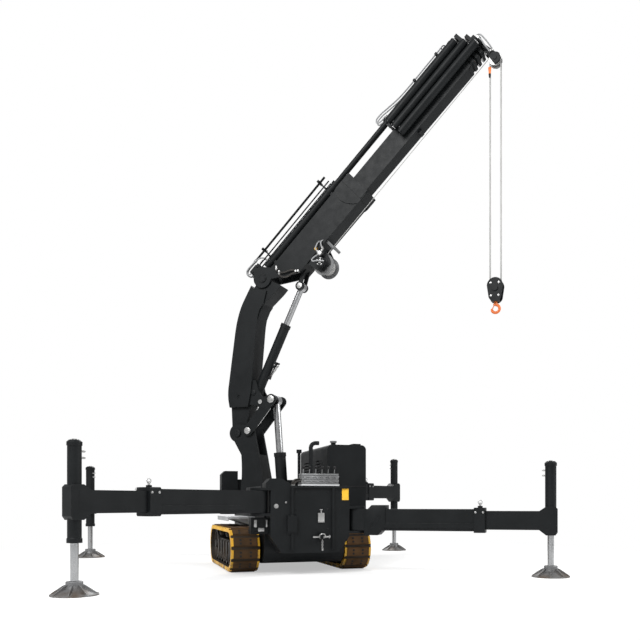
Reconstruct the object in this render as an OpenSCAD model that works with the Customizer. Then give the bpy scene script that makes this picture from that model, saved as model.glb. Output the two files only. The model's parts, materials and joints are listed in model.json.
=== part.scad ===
// Tracked crane with a knuckle boom, standing on four swing-out outriggers.
// Millimetres. X is across the carrier, Y runs from its front to its rear, Z is up.
// The origin lies on the ground, midway between the tracks.

/* [Undercarriage] */
// Length of a track over its pads
track_len = 2350; // [2200:10:2450]
// Height of a track over its pads
track_h = 640; // [600:10:660]
// Width of a track shoe
shoe_w = 400; // [360:10:440]
// Distance between the centre lines of the tracks
track_gauge = 1640; // [1600:10:1700]
// Number of shoes in a track
shoe_count = 32; // [30:1:36]
// Thickness of a track from its rollers to its pads
track_t = 72; // [64:1:80]
// Height of a shoe's pad above the track's chain
shoe_t = 30; // [26:1:36]
// Height of a shoe's plate above the track's chain
plate_t = 13; // [10:1:18]
// Length of plate that shows at either end of a pad
pad_side = 34; // [20:1:50]
// Gap between two shoes
shoe_gap = 22; // [14:1:30]
// Gap between a track and the chassis
track_gap = 40; // [30:1:60]
// Height of the chassis above the ground
belly_z = 130; // [110:5:180]

/* [Chassis] */
// Height of the deck that carries the slewing ring
ring_deck_z = 840; // [800:10:860]
// Height of the front deck
deck_z = 1220; // [1180:10:1260]
// Height of the rear cross beam
rear_top_z = 1390; // [1380:5:1420]
// Length of the car body from the centre to either end
body_half = 1250; // [1220:10:1280]
// Width of the cross beams that carry the outriggers
cross_w = 1110; // [1080:10:1120]
// Depth of the front cross beam
front_cross_d = 330; // [300:10:340]
// Depth of the rear cross beam
rear_cross_d = 170; // [150:5:175]
// Width of the engine hood
hood_w = 600; // [560:10:620]
// Length of the engine hood
hood_len = 1650; // [1500:10:1700]
// Height of the engine hood
hood_h = 630; // [560:10:680]
// Distance of the hood's inner side from the carrier's centre line
hood_x = 430; // [425:5:450]
// Wall of the hood
hood_wall = 8; // [5:1:12]
// Radius of the hood's upper edges
hood_round = 70; // [40:5:110]
// Radius of the belly's lower edges
belly_round = 240; // [180:10:280]
// Number of sections in the valve bank
valve_count = 6; // [4:1:7]
// Radius of the exhaust pipe
exhaust_r = 30; // [24:1:36]

// Radius of the hole in the towing lug
tow_bore = 22; // [18:1:26]
// Thickness of the towing lug
tow_t = 40; // [30:2:50]

/* [Outriggers] */
// Distance of an outrigger's pivot from the carrier's centre line
pivot_x = 690; // [685:5:710]
// Distance of an outrigger's pivot from the middle of the tracks
pivot_y = 1450; // [1440:5:1460]
// Angle of an outrigger to the carrier's cross line
arm_deg = 33; // [28:1:38]
// Distance from an outrigger's pivot to its jack
jack_reach = 2690; // [2600:10:2760]
// Length of an outrigger's arm
arm_len = 1830; // [1780:10:1880]
// Width of an arm
arm_w = 230; // [220:5:236]
// Height of an arm
arm_h = 300; // [290:5:310]
// Wall of an arm and of its beam
arm_wall = 12; // [10:1:14]
// Gap between an arm and its beam
beam_gap = 12; // [8:1:14]
// Radius of an outrigger's pivot pin
pivot_r = 40; // [34:1:46]
// Radius of a jack's barrel
jack_r = 74; // [70:1:80]
// Radius of a jack's rod
jack_rod_r = 43; // [38:1:46]
// Diameter of a foot
foot_d = 500; // [440:10:560]
// Height of a foot
foot_h = 150; // [130:5:165]
// Number of ribs on a foot
rib_count = 8; // [6:1:12]

/* [Column and lift linkage] */
// Place of the slewing axis across the carrier
slew_x = -250; // [-255:5:-240]
// Place of the slewing axis along the carrier
slew_y = 800; // [795:5:805]
// Angle of the boom's plane to the carrier's cross line
slew_deg = -38.5; // [-60:0.5:-20]
// Radius of the slewing ring
ring_r = 430; // [410:5:440]
// Height of the slewing ring
ring_h = 60; // [50:5:70]
// Half the width of the column
column_half = 165; // [162:1:168]
// Height of the inner boom's pivot
boom_z = 2140; // [2120:10:2160]
// Distance of the inner boom's pivot behind the slewing axis
boom_back = 330; // [320:5:340]
// Length of the lift links
link_len = 653; // [640:1:660]
// Angle of the lift links
link_deg = 50; // [48:1:52]
// Radius of the lift cylinder's barrel
lift_r = 92; // [86:1:96]
// Radius of the lift cylinder's rod
lift_rod_r = 58; // [50:1:64]
// Length of the lift cylinder's barrel
lift_len = 760; // [740:5:780]

/* [Inner boom] */
// Half the width of the inner boom
inner_half = 170; // [166:1:172]
// Height of the elbow above the inner boom's pivot
elbow_up = 2520; // [2480:10:2560]
// Distance of the elbow in front of the inner boom's pivot
elbow_out = 460; // [440:5:480]
// Radius of the elbow's head
elbow_r = 158; // [150:1:162]
// Radius of the elbow cylinder's barrel
knee_r = 78; // [70:1:82]
// Radius of the elbow cylinder's rod
knee_rod_r = 48; // [42:1:54]
// Length of the elbow cylinder's barrel
knee_len = 1230; // [1200:10:1250]

/* [Outer boom] */
// Angle of the outer boom above the ground
boom_deg = 44.5; // [40:0.5:50]
// Length of the outer boom's root from the elbow
root_len = 2130; // [2080:10:2160]
// Height of the root
root_h = 447; // [440:1:460]
// Half the width of the root
root_half = 175; // [172:1:180]
// Wall of the root's sides
root_wall = 28; // [24:1:29]
// Radius of the winch's drum
drum_r = 105; // [95:1:115]
// Radius of the drum's flanges
flange_r = 170; // [160:1:174]

/* [Telescoping sections] */
// Height of the first section
ext_h = 310; // [300:2:320]
// Width of the first section
ext_w = 250; // [244:2:256]
// Wall of a section
ext_wall = 9; // [7:1:10]
// Gap between two sections
ext_gap = 8; // [6:1:9]
// Place of the first section's head along the boom
head_s = 4400; // [4360:10:4440]
// Distance from one section's head to the next
head_pitch = 85; // [80:1:95]
// Thickness of a section's head
head_t = 50; // [40:1:56]
// Radius of a section's cylinder
ram_r = 64; // [58:1:66]
// Radius of a section's rod
ram_rod_r = 30; // [26:1:36]
// Radius of the rod that pushes the first section
first_rod_r = 46; // [40:1:50]
// Length of a section's cylinder
ram_len = 1330; // [1280:10:1360]

/* [Hoist] */
// Radius of the sheaves over their rims
sheave_r = 95; // [90:1:105]
// Radius of the sheaves at the bottom of their grooves
groove_r = 75; // [70:1:80]
// Diameter of the rope
rope_d = 12; // [10:1:14]
// Height of the hook block's sheaves above the ground
block_z = 4170; // [3900:10:4400]
// Height of the hook block's cheeks
block_h = 330; // [300:5:350]

/* [Hidden] */
$fn = 64;
// Clearance of a pin, rod or slide pad
fit = 0.3;
// Depth by which a cut runs past the face that it opens
past = 2;
// Clearance between pieces that move past each other
run = 5;
// Colours of the paint and of the bare metals
paint = [0.05, 0.055, 0.06];
yellow = [0.85, 0.6, 0.05];
chrome = [0.75, 0.76, 0.78];
zinc = [0.6, 0.6, 0.58];
orange = [0.9, 0.35, 0.05];
rope_grey = [0.7, 0.7, 0.7];

// Undercarriage
frame_half = (track_gauge - shoe_w) / 2 - track_gap;
wheel_r = track_h / 2 - track_t - 1;
wheel_y = track_len / 2 - track_h / 2;
// Outriggers: name's side, end, height of the arm, foot and top of the jack's barrel
LF = [-1, -1, 1000, 560, 1660];
RF = [1, -1, 750, 620, 1540];
LR = [-1, 1, 980, 560, 1640];
RR = [1, 1, 1200, 780, 1880];
ear_t = 35;
ear_r = 130;
knuckle_r = arm_w / 2;
bore_w = arm_w - 2 * arm_wall;
bore_h = arm_h - 2 * arm_wall;
beam_w = bore_w - 2 * beam_gap;
beam_h = bore_h - 2 * beam_gap;
beam_tail = 950;
pad_len = 80;
jack_hold = 400;
// Column: pins of the lift linkage as (reach, height) in the boom's plane
boom_pin = [-boom_back, boom_z];
link_pin = boom_pin + [210, 30];
link_arm = link_len * [cos(link_deg), sin(link_deg)];
tie_pin = boom_pin + link_arm;
lift_eye = link_pin + link_arm;
lift_foot = [420, 1050];
// Lift linkage: side offsets of its layers
foot_half = 110;
cheek_in = 125;
lug_in = 100;
lug_out = 140;
tie_in = 145;
tie_out = 170;
link_in = 180;
link_out = 205;
link_pin_r = 35;
// Inner boom
elbow = boom_pin + [elbow_out, elbow_up];
knee_foot = boom_pin + [280, 660];
knee_eye_s = 337;
knee_eye_t = -556;
knee_eye = elbow + knee_eye_s * [cos(boom_deg), sin(boom_deg)] + knee_eye_t * [-sin(boom_deg), cos(boom_deg)];
elbow_pin_r = 50;
head_half = root_half - root_wall - run;
// Outer boom and its sections, along the boom from the elbow
ext_mid = -root_h / 2 - 11;
ram_top = 95 + ram_r;
ram_pitch = 2 * ram_r + 10;
ram_side = ext_w / 2 + 12 + ram_r;
ram_from = head_s - ram_len;
winch_s = 850;
winch_t = -root_h - flange_r - 40;
drum_half = 120;
tip_s = 4750;
tip_t = -575;
rope_r = rope_d / 2;
fall_r = groove_r + rope_r + fit;
tip = elbow + tip_s * [cos(boom_deg), sin(boom_deg)] + tip_t * [-sin(boom_deg), cos(boom_deg)];
sheave_n = 36;
sheave_w = 34;

// Frame of the crane: reach along X, the boom's plane at Y = 0, height along Z
module on_slew() translate([slew_x, slew_y, 0]) rotate([0, 0, slew_deg]) children();

// Frame of the outer boom: along the boom on X, square to it and up on Z, from the elbow
module on_boom() on_slew() translate([elbow.x, 0, elbow.y]) rotate([0, -boom_deg, 0]) children();

// Frame of a cylinder: from one pin of the boom's plane to another, along Z
module on_ram(from, to) {
    lean = atan2(to.x - from.x, to.y - from.y);
    on_slew() translate([from.x, 0, from.y]) rotate([0, lean, 0]) children();
}

// Frame of an outrigger: along the arm on X from its pivot
module on_arm(o) {
    turn = atan2(o[1] * sin(arm_deg), o[0] * cos(arm_deg));
    translate([o[0] * pivot_x, o[1] * pivot_y, 0]) rotate([0, 0, turn]) children();
}

// Plate with an outline in the plane X, Z between two side offsets
module plate(outline, from, to) translate([0, to, 0]) rotate([90, 0, 0]) linear_extrude(to - from) polygon(outline);

// Pin across the plane X, Z at a point between two side offsets
module pin(at, r, from, to) translate([at.x, to, at.y]) rotate([90, 0, 0]) cylinder(r = r, h = to - from);

// The same plate or pin on both sides of the plane
module plates(outline, from, to) {
    plate(outline, from, to);
    plate(outline, -to, -from);
}
module pins(at, r, from, to) {
    pin(at, r, from, to);
    pin(at, r, -to, -from);
}

// Outline of a strip between two points, half as wide as r at each end
function strip(a, b, ra, rb) = let (d = (b - a) / norm(b - a), n = [-d.y, d.x])
    [a + ra * n, b + rb * n, b - rb * n, a - ra * n];

// Points of an arc round a centre, from one angle to another
function arc(at, r, from, to, steps = 8) =
    [for (i = [0:steps]) let (a = from + (to - from) * i / steps) at + r * [cos(a), sin(a)]];

// Points of a smooth bend from a to c, drawn towards b
function bend(a, b, c, steps = 8) =
    [for (i = [0:steps]) let (t = i / steps) (1 - t) * (1 - t) * a + 2 * t * (1 - t) * b + t * t * c];

// Outline of a rectangle with cut corners, centred
function cut_rect(w, h, c) = [[c - w / 2, -h / 2], [w / 2 - c, -h / 2], [w / 2, c - h / 2], [w / 2, h / 2 - c],
    [w / 2 - c, h / 2], [c - w / 2, h / 2], [-w / 2, h / 2 - c], [-w / 2, c - h / 2]];

// Outline in the plane Y, Z drawn along X
module along_x(from, to) translate([from, 0, 0]) rotate([90, 0, 90]) linear_extrude(to - from) children();

// Outline in the plane X, Z drawn along Y
module along_y(from, to) translate([0, to, 0]) rotate([90, 0, 0]) linear_extrude(to - from) children();

// Box between two corners
module box(low, high) translate(low) cube(high - low);

// Rectangular tube or bar along X, centred on Y and Z
module bar(from, to, w, h) translate([from, -w / 2, -h / 2]) cube([to - from, w, h]);

// Undercarriage

// Point and direction at a share of the way round a track's chain line
chain_r = track_h / 2 - shoe_t;
chain_run = 2 * (track_len / 2 - track_h / 2);
chain_round = 2 * chain_run + 2 * PI * chain_r;
function chain_at(s) = let (arc = PI * chain_r)
    s < chain_run ? [[-chain_run / 2 + s, -chain_r], 0]
    : s < chain_run + arc ? let (a = (s - chain_run) / chain_r * 180 / PI)
        [[chain_run / 2 + chain_r * sin(a), -chain_r * cos(a)], a]
    : s < 2 * chain_run + arc ? [[chain_run / 2 - (s - chain_run - arc), chain_r], 180]
    : let (a = (s - 2 * chain_run - arc) / chain_r * 180 / PI)
        [[-chain_run / 2 - chain_r * sin(a), chain_r * cos(a)], 180 + a];
function off_chain(s, along, out) = let (c = chain_at(s), a = c[1])
    c[0] + along * [cos(a), sin(a)] + out * [sin(a), -cos(a)];

// Height of a shoe's edge above the chain: on the round ends it stays within the track's outline
function edge_t(s, along) = chain_at(s)[1] % 180 == 0 ? shoe_t
    : sqrt(pow(chain_r + shoe_t, 2) - along * along) - chain_r;

// Outline of a row of shoes, one step up and down for each, to a height and with an inset at both ends
function shoe_outline(top, inset) = let (pitch = chain_round / shoe_count, half = (pitch - shoe_gap) / 2 - inset)
    [for (i = [0:shoe_count - 1]) let (s = (i + 0.5) * pitch)
        each [off_chain(s, -half, -2), off_chain(s, slope - half, min(top, edge_t(s, half - slope))),
            off_chain(s, half - slope, min(top, edge_t(s, half - slope))), off_chain(s, half, -2)]];
slope = 6;
pad_inset = 9;

module stadium(len, r) {
    translate([-len / 2, -r]) square([len, 2 * r]);
    for (end = [-1, 1]) translate([end * len / 2, 0]) circle(r);
}

// Plates or pads of the whole loop, as wide as asked
module shoes(w, top, inset, inner) translate([0, 0, -w / 2]) linear_extrude(w) difference() {
    polygon(shoe_outline(top, inset));
    stadium(2 * wheel_y, inner);
}
module track(side) color(yellow) translate([side * track_gauge / 2, 0, track_h / 2]) rotate([90, 0, 90]) {
    shoes(shoe_w, plate_t, 0, track_h / 2 - track_t);
    shoes(shoe_w - 2 * pad_side, shoe_t, pad_inset, chain_r - (track_t - shoe_t) / 2);
}
module track_left() track(-1);
module track_right() track(1);

roller_r = 80;
groove = 14;
beam_in = 60;
rib_t = 24;
rib_half = 38;
hub_r = 62;
dish = 34;
cap_r = 30;
cap_out = 12;
top_roller_r = 44;
roller_half = shoe_w / 2 - beam_in;

// Wheel at the end of a track, dished on both sides round its hub
module end_wheel() rotate([0, 90, 0]) rotate_extrude() polygon([[0, -roller_half - cap_out],
    [hub_r, -roller_half - cap_out], [hub_r + 12, dish - roller_half], [wheel_r - 50, dish - roller_half],
    [wheel_r - 40, -roller_half], [wheel_r, -roller_half], [wheel_r, roller_half], [wheel_r - 40, roller_half],
    [wheel_r - 50, roller_half - dish], [hub_r + 12, roller_half - dish], [hub_r, roller_half + cap_out],
    [0, roller_half + cap_out]]);

// Roller with a rim at both ends and a cap on its axle
module roller(r) rotate([0, 90, 0]) rotate_extrude() polygon([[0, -roller_half - cap_out],
    [cap_r, -roller_half - cap_out], [cap_r, -roller_half], [r, -roller_half], [r, 50 - roller_half],
    [r - groove, 60 - roller_half], [r - groove, roller_half - 60], [r, roller_half - 50], [r, roller_half],
    [cap_r, roller_half], [cap_r, roller_half + cap_out], [0, roller_half + cap_out]]);

module track_frame(side) color(paint) translate([side * track_gauge / 2, 0, 0]) {
    inner = shoe_w / 2 + track_gap;
    // Side beam and its inner arms that reach the chassis
    box([rib_t - roller_half, 60 - wheel_y, track_h / 2 - 90], [roller_half - rib_t, wheel_y - 60, track_h / 2 + 110]);
    for (y = [-600, 600])
        box([min(0, -side * inner), y - 160, track_h / 2 - 80], [max(0, -side * inner), y + 160, track_h / 2 + 80]);
    for (end = [-1, 1]) translate([0, end * wheel_y, track_h / 2]) end_wheel();
    // Rollers in their brackets
    for (i = [-2:2]) translate([0, i * wheel_y * 0.33, 0]) {
        translate([0, 0, track_t + roller_r + 1]) roller(roller_r);
        for (face = [-1, 1]) along_x(face > 0 ? roller_half - rib_t - past : -roller_half - 4,
            face > 0 ? roller_half + 4 : rib_t + past - roller_half)
            polygon([[-rib_half, track_t + roller_r], [rib_half, track_t + roller_r], [1.6 * rib_half, track_h / 2 + 90],
                [-1.6 * rib_half, track_h / 2 + 90]]);
    }
    for (y = [-330, 330]) translate([0, y, 0]) {
        translate([0, 0, track_h - track_t - top_roller_r - 1]) roller(top_roller_r);
        box([-30, -18, track_h / 2 + 100], [30, 18, track_h - track_t - top_roller_r]);
    }
}
module track_frame_left() track_frame(-1);
module track_frame_right() track_frame(1);

// Chassis

// Ears and pin that carry one outrigger, on the end of a cross beam
module ears(o) {
    low = o[2] - arm_h / 2 - run - ear_t;
    high = o[2] + arm_h / 2 + run;
    for (z = [low, high]) translate([o[0] * pivot_x, o[1] * pivot_y, z]) {
        cylinder(r = ear_r, h = ear_t);
        mirror([o[0] > 0 ? 1 : 0, 0, 0]) translate([0, -ear_r, 0]) cube([pivot_x - cross_w / 2 + 60, 2 * ear_r, ear_t]);
    }
    translate([o[0] * pivot_x, o[1] * pivot_y, low]) cylinder(r = pivot_r, h = high + ear_t - low);
}

front_y = -pivot_y - ear_r;
rear_y = pivot_y - 60;
// Height of the top of an outrigger's upper ear
function ear_top(o) = o[2] + arm_h / 2 + run + ear_t;
step_w = 400;
step_len = 1100;
step_t = 30;
step_lip = 60;
step_z = ring_deck_z - 60;
tow_x = 130;
tow_r = 55;
tow_out = 60;
tow_z = 520;
front_low = 300;
corner_z = 520;
corner_x = 155;
lip_out = 25;
lip_t = 30;
rib_w = 30;
locker_w = 245;
locker_d = 170;
locker_z = 560;
locker_h = 225;
door_t = 10;
tower_z = 1316;
rear_tower_z = 1530;
module chassis_frame() color(paint) {
    // Car body between the tracks
    along_x(-frame_half, frame_half) polygon(concat(
        arc([belly_round - body_half, belly_z + belly_round], belly_round, 180, 270),
        arc([body_half - belly_round, belly_z + belly_round], belly_round, 270, 360),
        [[body_half, ring_deck_z], [-body_half, ring_deck_z]]));
}

// Front cross beam with the ears of the front arms
module front_frame() color(paint) {
    // Beam with its ribs and the edge of the deck
    along_y(front_y, front_y + front_cross_d) polygon([[-cross_w / 2, corner_z], [corner_x - cross_w / 2, front_low],
        [cross_w / 2 - corner_x, front_low], [cross_w / 2, corner_z], [cross_w / 2, deck_z], [-cross_w / 2, deck_z]]);
    box([-cross_w / 4, front_y - lip_out, deck_z - lip_t], [cross_w / 2, front_y + past, deck_z]);
    for (x = [-cross_w / 4, 0.27 * cross_w])
        box([x, front_y - lip_out, front_low + 40], [x + rib_w, front_y + past, deck_z - lip_t + past]);
    // Block beside the towing lug
    along_x(-330, -200) polygon([[front_y + past, 540], [front_y - 45, 600], [front_y - 45, 800], [front_y + past, 830]]);
    // Stop on the ears of the left arm
    along_y(front_y, front_y + 2 * ear_r) polygon([[70 - pivot_x, ear_top(LF) - past], [70 - pivot_x, tower_z - 66],
        [130 - pivot_x, tower_z], [290 - pivot_x, tower_z], [-cross_w / 4, deck_z + 15], [-cross_w / 4, deck_z - past]]);
    // Locker under the left front arm, with its door
    box([-cross_w / 2 - locker_w, front_y + 130, locker_z], [past - cross_w / 2, front_y + 130 + locker_d, locker_z + locker_h]);
    box([25 - cross_w / 2 - locker_w, front_y + 130 - door_t, locker_z + 20],
        [-cross_w / 2 - 15, front_y + 130 + past, locker_z + locker_h - 20]);
    for (o = [LF, RF]) ears(o);
    // Lug for a towing pin
    translate([tow_x, 0, 0]) difference() {
        union() {
            box([-tow_t / 2, front_y - tow_out, tow_z - tow_r], [tow_t / 2, front_y + past, tow_z + tow_r]);
            translate([-tow_t / 2, front_y - tow_out, tow_z]) rotate([0, 90, 0]) cylinder(r = tow_r, h = tow_t);
        }
        translate([-tow_t / 2 - past, front_y - tow_out, tow_z]) rotate([0, 90, 0])
            cylinder(r = tow_bore, h = tow_t + 2 * past);
    }
}

// Rear cross beam with the ears of the rear arms
module rear_frame() color(paint) {
    box([-cross_w / 2, rear_y, 560], [cross_w / 2, rear_y + rear_cross_d, rear_top_z]);
    box([-cross_w / 2, body_half, 560], [cross_w / 2, rear_y + 50, ring_deck_z]);
    for (o = [LR, RR]) ears(o);
    // Stop on the ears of the left arm
    along_y(pivot_y - ear_r + 10, pivot_y + ear_r - 10) polygon([[10 - ear_r - pivot_x, ear_top(LR) - past],
        [10 - ear_r - pivot_x, rear_tower_z - 60], [70 - ear_r - pivot_x, rear_tower_z], [20 - cross_w / 2, rear_tower_z],
        [20 - cross_w / 2, ear_top(LR) - past]]);
}

// Bed of the engine over the right track, with two doors on its outer side
module engine_bed() color(paint) difference() {
    along_y(hood_y, hood_y + hood_len) polygon([[hood_x, ring_deck_z], [frame_half, ring_deck_z], [frame_half, track_h + 30],
        [hood_x + hood_w, track_h + 30], [hood_x + hood_w, deck_z], [hood_x, deck_z]]);
    for (i = [0, 1]) box([hood_x + hood_w - door_t, hood_y + 60 + i * hood_len / 2, track_h + 90],
        [hood_x + hood_w + past, hood_y - 60 + (i + 1) * hood_len / 2, deck_z - 60]);
}

hood_y = -900;
hood_top = deck_z + hood_h;
body_w = frame_half + 40;
body_back = slew_y - 760;
post_r = 22;
post_h = 520;
module front_body() color(paint) {
    difference() {
        along_x(-body_w, hood_x) polygon([[front_y + front_cross_d, ring_deck_z], [body_back, ring_deck_z],
            [body_back, deck_z - 60], [body_back - 60, deck_z], [front_y + front_cross_d, deck_z]]);
        // Doors of the left side
        for (i = [0, 1]) box([-body_w - past, front_y + front_cross_d + 40 + i * 640, ring_deck_z + 60],
            [door_t - body_w, front_y + front_cross_d + 620 + i * 640, deck_z - 60]);
    }
    // Capped post beside the hood
    translate([0, hood_y, deck_z - past]) cylinder(r = post_r, h = post_h);
    translate([0, hood_y, deck_z + post_h - 30]) cylinder(r = post_r + 16, h = 50);
}

// Section of the hood, rounded along its two upper edges
module hood_section(inset, r) {
    w = hood_w - 2 * inset;
    h = hood_h - inset;
    translate([hood_x + inset, deck_z]) {
        square([w, h - r]);
        translate([r, 0]) square([w - 2 * r, h]);
        for (x = [r, w - r]) translate([x, h - r]) circle(r);
    }
}
louvre_h = 16;
louvre_pitch = 46;
louvre_len = 420;
module engine_hood() color(paint) {
    difference() {
        along_y(hood_y, hood_y + hood_len) hood_section(0, hood_round);
        translate([0, 0, -past]) along_y(hood_y + hood_wall, hood_y + hood_len - hood_wall)
            hood_section(hood_wall, hood_round - hood_wall);
        // Louvres of both sides and of the rear
        for (i = [0:6]) {
            z = deck_z + 120 + i * louvre_pitch;
            for (y = [hood_y + 250, hood_y + hood_len - 250 - louvre_len])
                box([hood_x - past, y, z], [hood_x + hood_w + past, y + louvre_len, z + louvre_h]);
            box([hood_x + 90, hood_y + hood_len - hood_wall - past, z], [hood_x + hood_w - 90, hood_y + hood_len + past, z + louvre_h]);
        }
    }
    // Filler cap and the raised corner
    translate([hood_x + 130, hood_y + 140, hood_top - hood_wall / 2]) {
        cylinder(r = 36, h = 50);
        translate([0, 0, 40]) cylinder(r = 50, h = 26);
    }
    box([hood_x + hood_w - 190, hood_y + 40, hood_top - hood_wall / 2], [hood_x + hood_w - hood_round, hood_y + 260, hood_top + 22]);
}
module engine_block() color(zinc)
    box([hood_x + 60, hood_y + 200, deck_z], [hood_x + hood_w - 60, hood_y + 1000, deck_z + hood_h - 150]);

valve_x = -110;
valve_y = front_y + 70;
valve_d = 220;
valve_base = 24;
valve_h = 150;
lever_h = 90;
module valve_bank() color(chrome) translate([valve_x, valve_y, deck_z]) {
    pitch = (hood_x - valve_x) / valve_count;
    cube([hood_x - valve_x, valve_d, valve_base]);
    // Tie bar through the sections
    box([10, valve_d / 2 - 30, 60], [hood_x - valve_x - 10, valve_d / 2 + 30, 120]);
    for (i = [0:valve_count - 1]) translate([i * pitch, 0, 0]) {
        box([6, 20, valve_base - past], [pitch - 6, valve_d - 20, valve_base + valve_h]);
        // Spool cap, port and lever
        translate([pitch / 2, 22, valve_base + 95]) rotate([90, 0, 0]) cylinder(r = 20, h = 30);
        translate([pitch / 2, 22, valve_base + 40]) rotate([90, 0, 0]) cylinder(r = 15, h = 22);
        translate([pitch / 2, valve_d / 2, valve_base + valve_h - past]) rotate([18, 0, 0]) {
            cylinder(r = 7, h = lever_h);
            translate([0, 0, lever_h]) sphere(r = 15);
        }
    }
}
exhaust_at = [150, -1000];
exhaust_up = 560;
exhaust_bend = 75;
module exhaust_pipe() color(paint) translate([exhaust_at.x, exhaust_at.y, deck_z]) {
    cylinder(r = exhaust_r + 22, h = 12);
    cylinder(r = exhaust_r, h = exhaust_up);
    translate([exhaust_bend, 0, exhaust_up]) rotate([90, 0, 0]) rotate([0, 0, 90])
        rotate_extrude(angle = 90) translate([exhaust_bend, 0]) circle(exhaust_r);
    translate([exhaust_bend, 0, exhaust_up + exhaust_bend]) rotate([0, 90, 0]) cylinder(r = exhaust_r, h = 45);
}
module side_step() color(zinc) {
    box([-frame_half - step_w, -step_len / 2, step_z - step_t], [-frame_half, step_len / 2, step_z]);
    box([-frame_half - step_w, -step_len / 2, step_z - step_lip], [12 - frame_half - step_w, step_len / 2, step_z - step_t + past]);
    for (y = [-step_len / 2 + 40, -20, step_len / 2 - 80])
        along_y(y, y + 40) polygon([[-frame_half, step_z - step_t + past], [-frame_half, step_z - 130], [-frame_half - 30, step_z - 130],
            [60 - frame_half - step_w, step_z - step_t + past]]);
}
bolt_count = 18;
module slew_ring() color(zinc) on_slew() translate([0, 0, ring_deck_z]) {
    cylinder(r = ring_r, h = ring_h - 12);
    cylinder(r = ring_r - 22, h = ring_h);
    for (i = [0:bolt_count - 1]) rotate([0, 0, i * 360 / bolt_count]) translate([ring_r - 11, 0, ring_h - 14])
        cylinder(r = 9, h = 10, $fn = 6);
}

// Outriggers

collar_len = 150;
collar_t = 20;
rail_h = 70;
rail_up = 36;
rail_t = 10;
rail_from = 380;
module arm(o) color(paint) on_arm(o) translate([0, 0, o[2]]) difference() {
    union() {
        translate([0, 0, -arm_h / 2]) cylinder(r = knuckle_r, h = arm_h);
        bar(0, arm_len, arm_w, arm_h);
        // Collar at the mouth, with a boss for the locking pin
        along_x(arm_len - collar_len, arm_len) polygon(cut_rect(arm_w + 2 * collar_t, arm_h + 2 * collar_t, 16));
        translate([arm_len - collar_len / 2, 0, arm_h / 2 + collar_t - past]) cylinder(r = 34, h = 26);
        // Rail along both sides
        box([rail_from, -arm_w / 2 - rail_t, rail_up - arm_h / 2],
            [arm_len - collar_len + past, arm_w / 2 + rail_t, rail_up + rail_h - arm_h / 2]);
    }
    translate([0, 0, -arm_h / 2 - past]) cylinder(r = pivot_r + fit, h = arm_h + 2 * past);
    bar(200, arm_len - pad_len, bore_w, bore_h);
    bar(200, arm_len + past, beam_w + 2 * fit, beam_h + 2 * fit);
}

gland_out = 7;
gland_len = 46;
clamp_back = 150;
clamp_t = 16;
clamp_down = 120;
module beam(o) color(paint) on_arm(o) difference() {
    h = o[4] - o[3];
    union() {
        translate([0, 0, o[2]]) {
            bar(beam_tail, jack_reach, beam_w, beam_h);
            bar(beam_tail, beam_tail + pad_len, bore_w - 2 * fit, bore_h - 2 * fit);
            // Clamp round the jack
            plate([[jack_reach - clamp_back, -beam_h / 2], [jack_reach - 60, -beam_h / 2 - 70], [jack_reach + 60, -beam_h / 2 - 70],
                [jack_reach + jack_r + clamp_t, -beam_h / 2 - 30], [jack_reach + jack_r + clamp_t, beam_h / 2 + 30],
                [jack_reach + 60, beam_h / 2 + 60], [jack_reach - 60, beam_h / 2 + 60], [jack_reach - clamp_back, beam_h / 2]],
                -jack_r - clamp_t, jack_r + clamp_t);
        }
        // Barrel with its gland and cap
        translate([jack_reach, 0, o[3]]) rotate_extrude() polygon([[0, 0], [jack_r + gland_out, 0],
            [jack_r + gland_out, gland_len], [jack_r, gland_len + 8], [jack_r, h - 60], [jack_r + gland_out, h - 60],
            [jack_r + gland_out, h - 22], [jack_r - 16, h], [0, h]]);
    }
    translate([0, 0, o[2]]) bar(beam_tail - past, jack_reach - clamp_back, beam_w - 2 * arm_wall, beam_h - 2 * arm_wall);
    translate([jack_reach, 0, o[3] - clamp_down]) cylinder(r = jack_rod_r + fit, h = h - 40 + clamp_down);
}

module leg(o) color(chrome) on_arm(o) translate([jack_reach, 0, foot_h])
    cylinder(r = jack_rod_r, h = o[3] + jack_hold - foot_h);

foot_rim = 14;
socket_r = 90;
socket_h = 45;
foot_rib_t = 12;
module foot(o) color(zinc) on_arm(o) translate([jack_reach, 0, 0]) {
    rotate_extrude() polygon([[0, 0], [foot_d / 2, 0], [foot_d / 2, foot_rim], [foot_d / 2 - 30, foot_rim + 6],
        [socket_r + 8, foot_h - socket_h - 26], [socket_r, foot_h - socket_h], [socket_r, foot_h - 8],
        [socket_r - 8, foot_h], [0, foot_h]]);
    for (i = [0:rib_count - 1]) rotate([0, 0, i * 360 / rib_count])
        plate([[socket_r - 10, foot_rim], [foot_d / 2 - 8, foot_rim - past], [foot_d / 2 - 8, foot_rim + 8],
            [socket_r + 30, foot_h - socket_h], [socket_r - 10, foot_h - socket_h + 14]], -foot_rib_t / 2, foot_rib_t / 2);
}

module arm_lf() arm(LF);
module arm_rf() arm(RF);
module arm_lr() arm(LR);
module arm_rr() arm(RR);
module beam_lf() beam(LF);
module beam_rf() beam(RF);
module beam_lr() beam(LR);
module beam_rr() beam(RR);
module leg_lf() leg(LF);
module leg_rf() leg(RF);
module leg_lr() leg(LR);
module leg_rr() leg(RR);
module foot_lf() foot(LF);
module foot_rf() foot(RF);
module foot_lr() foot(LR);
module foot_rr() foot(RR);

// Column and lift linkage

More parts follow.
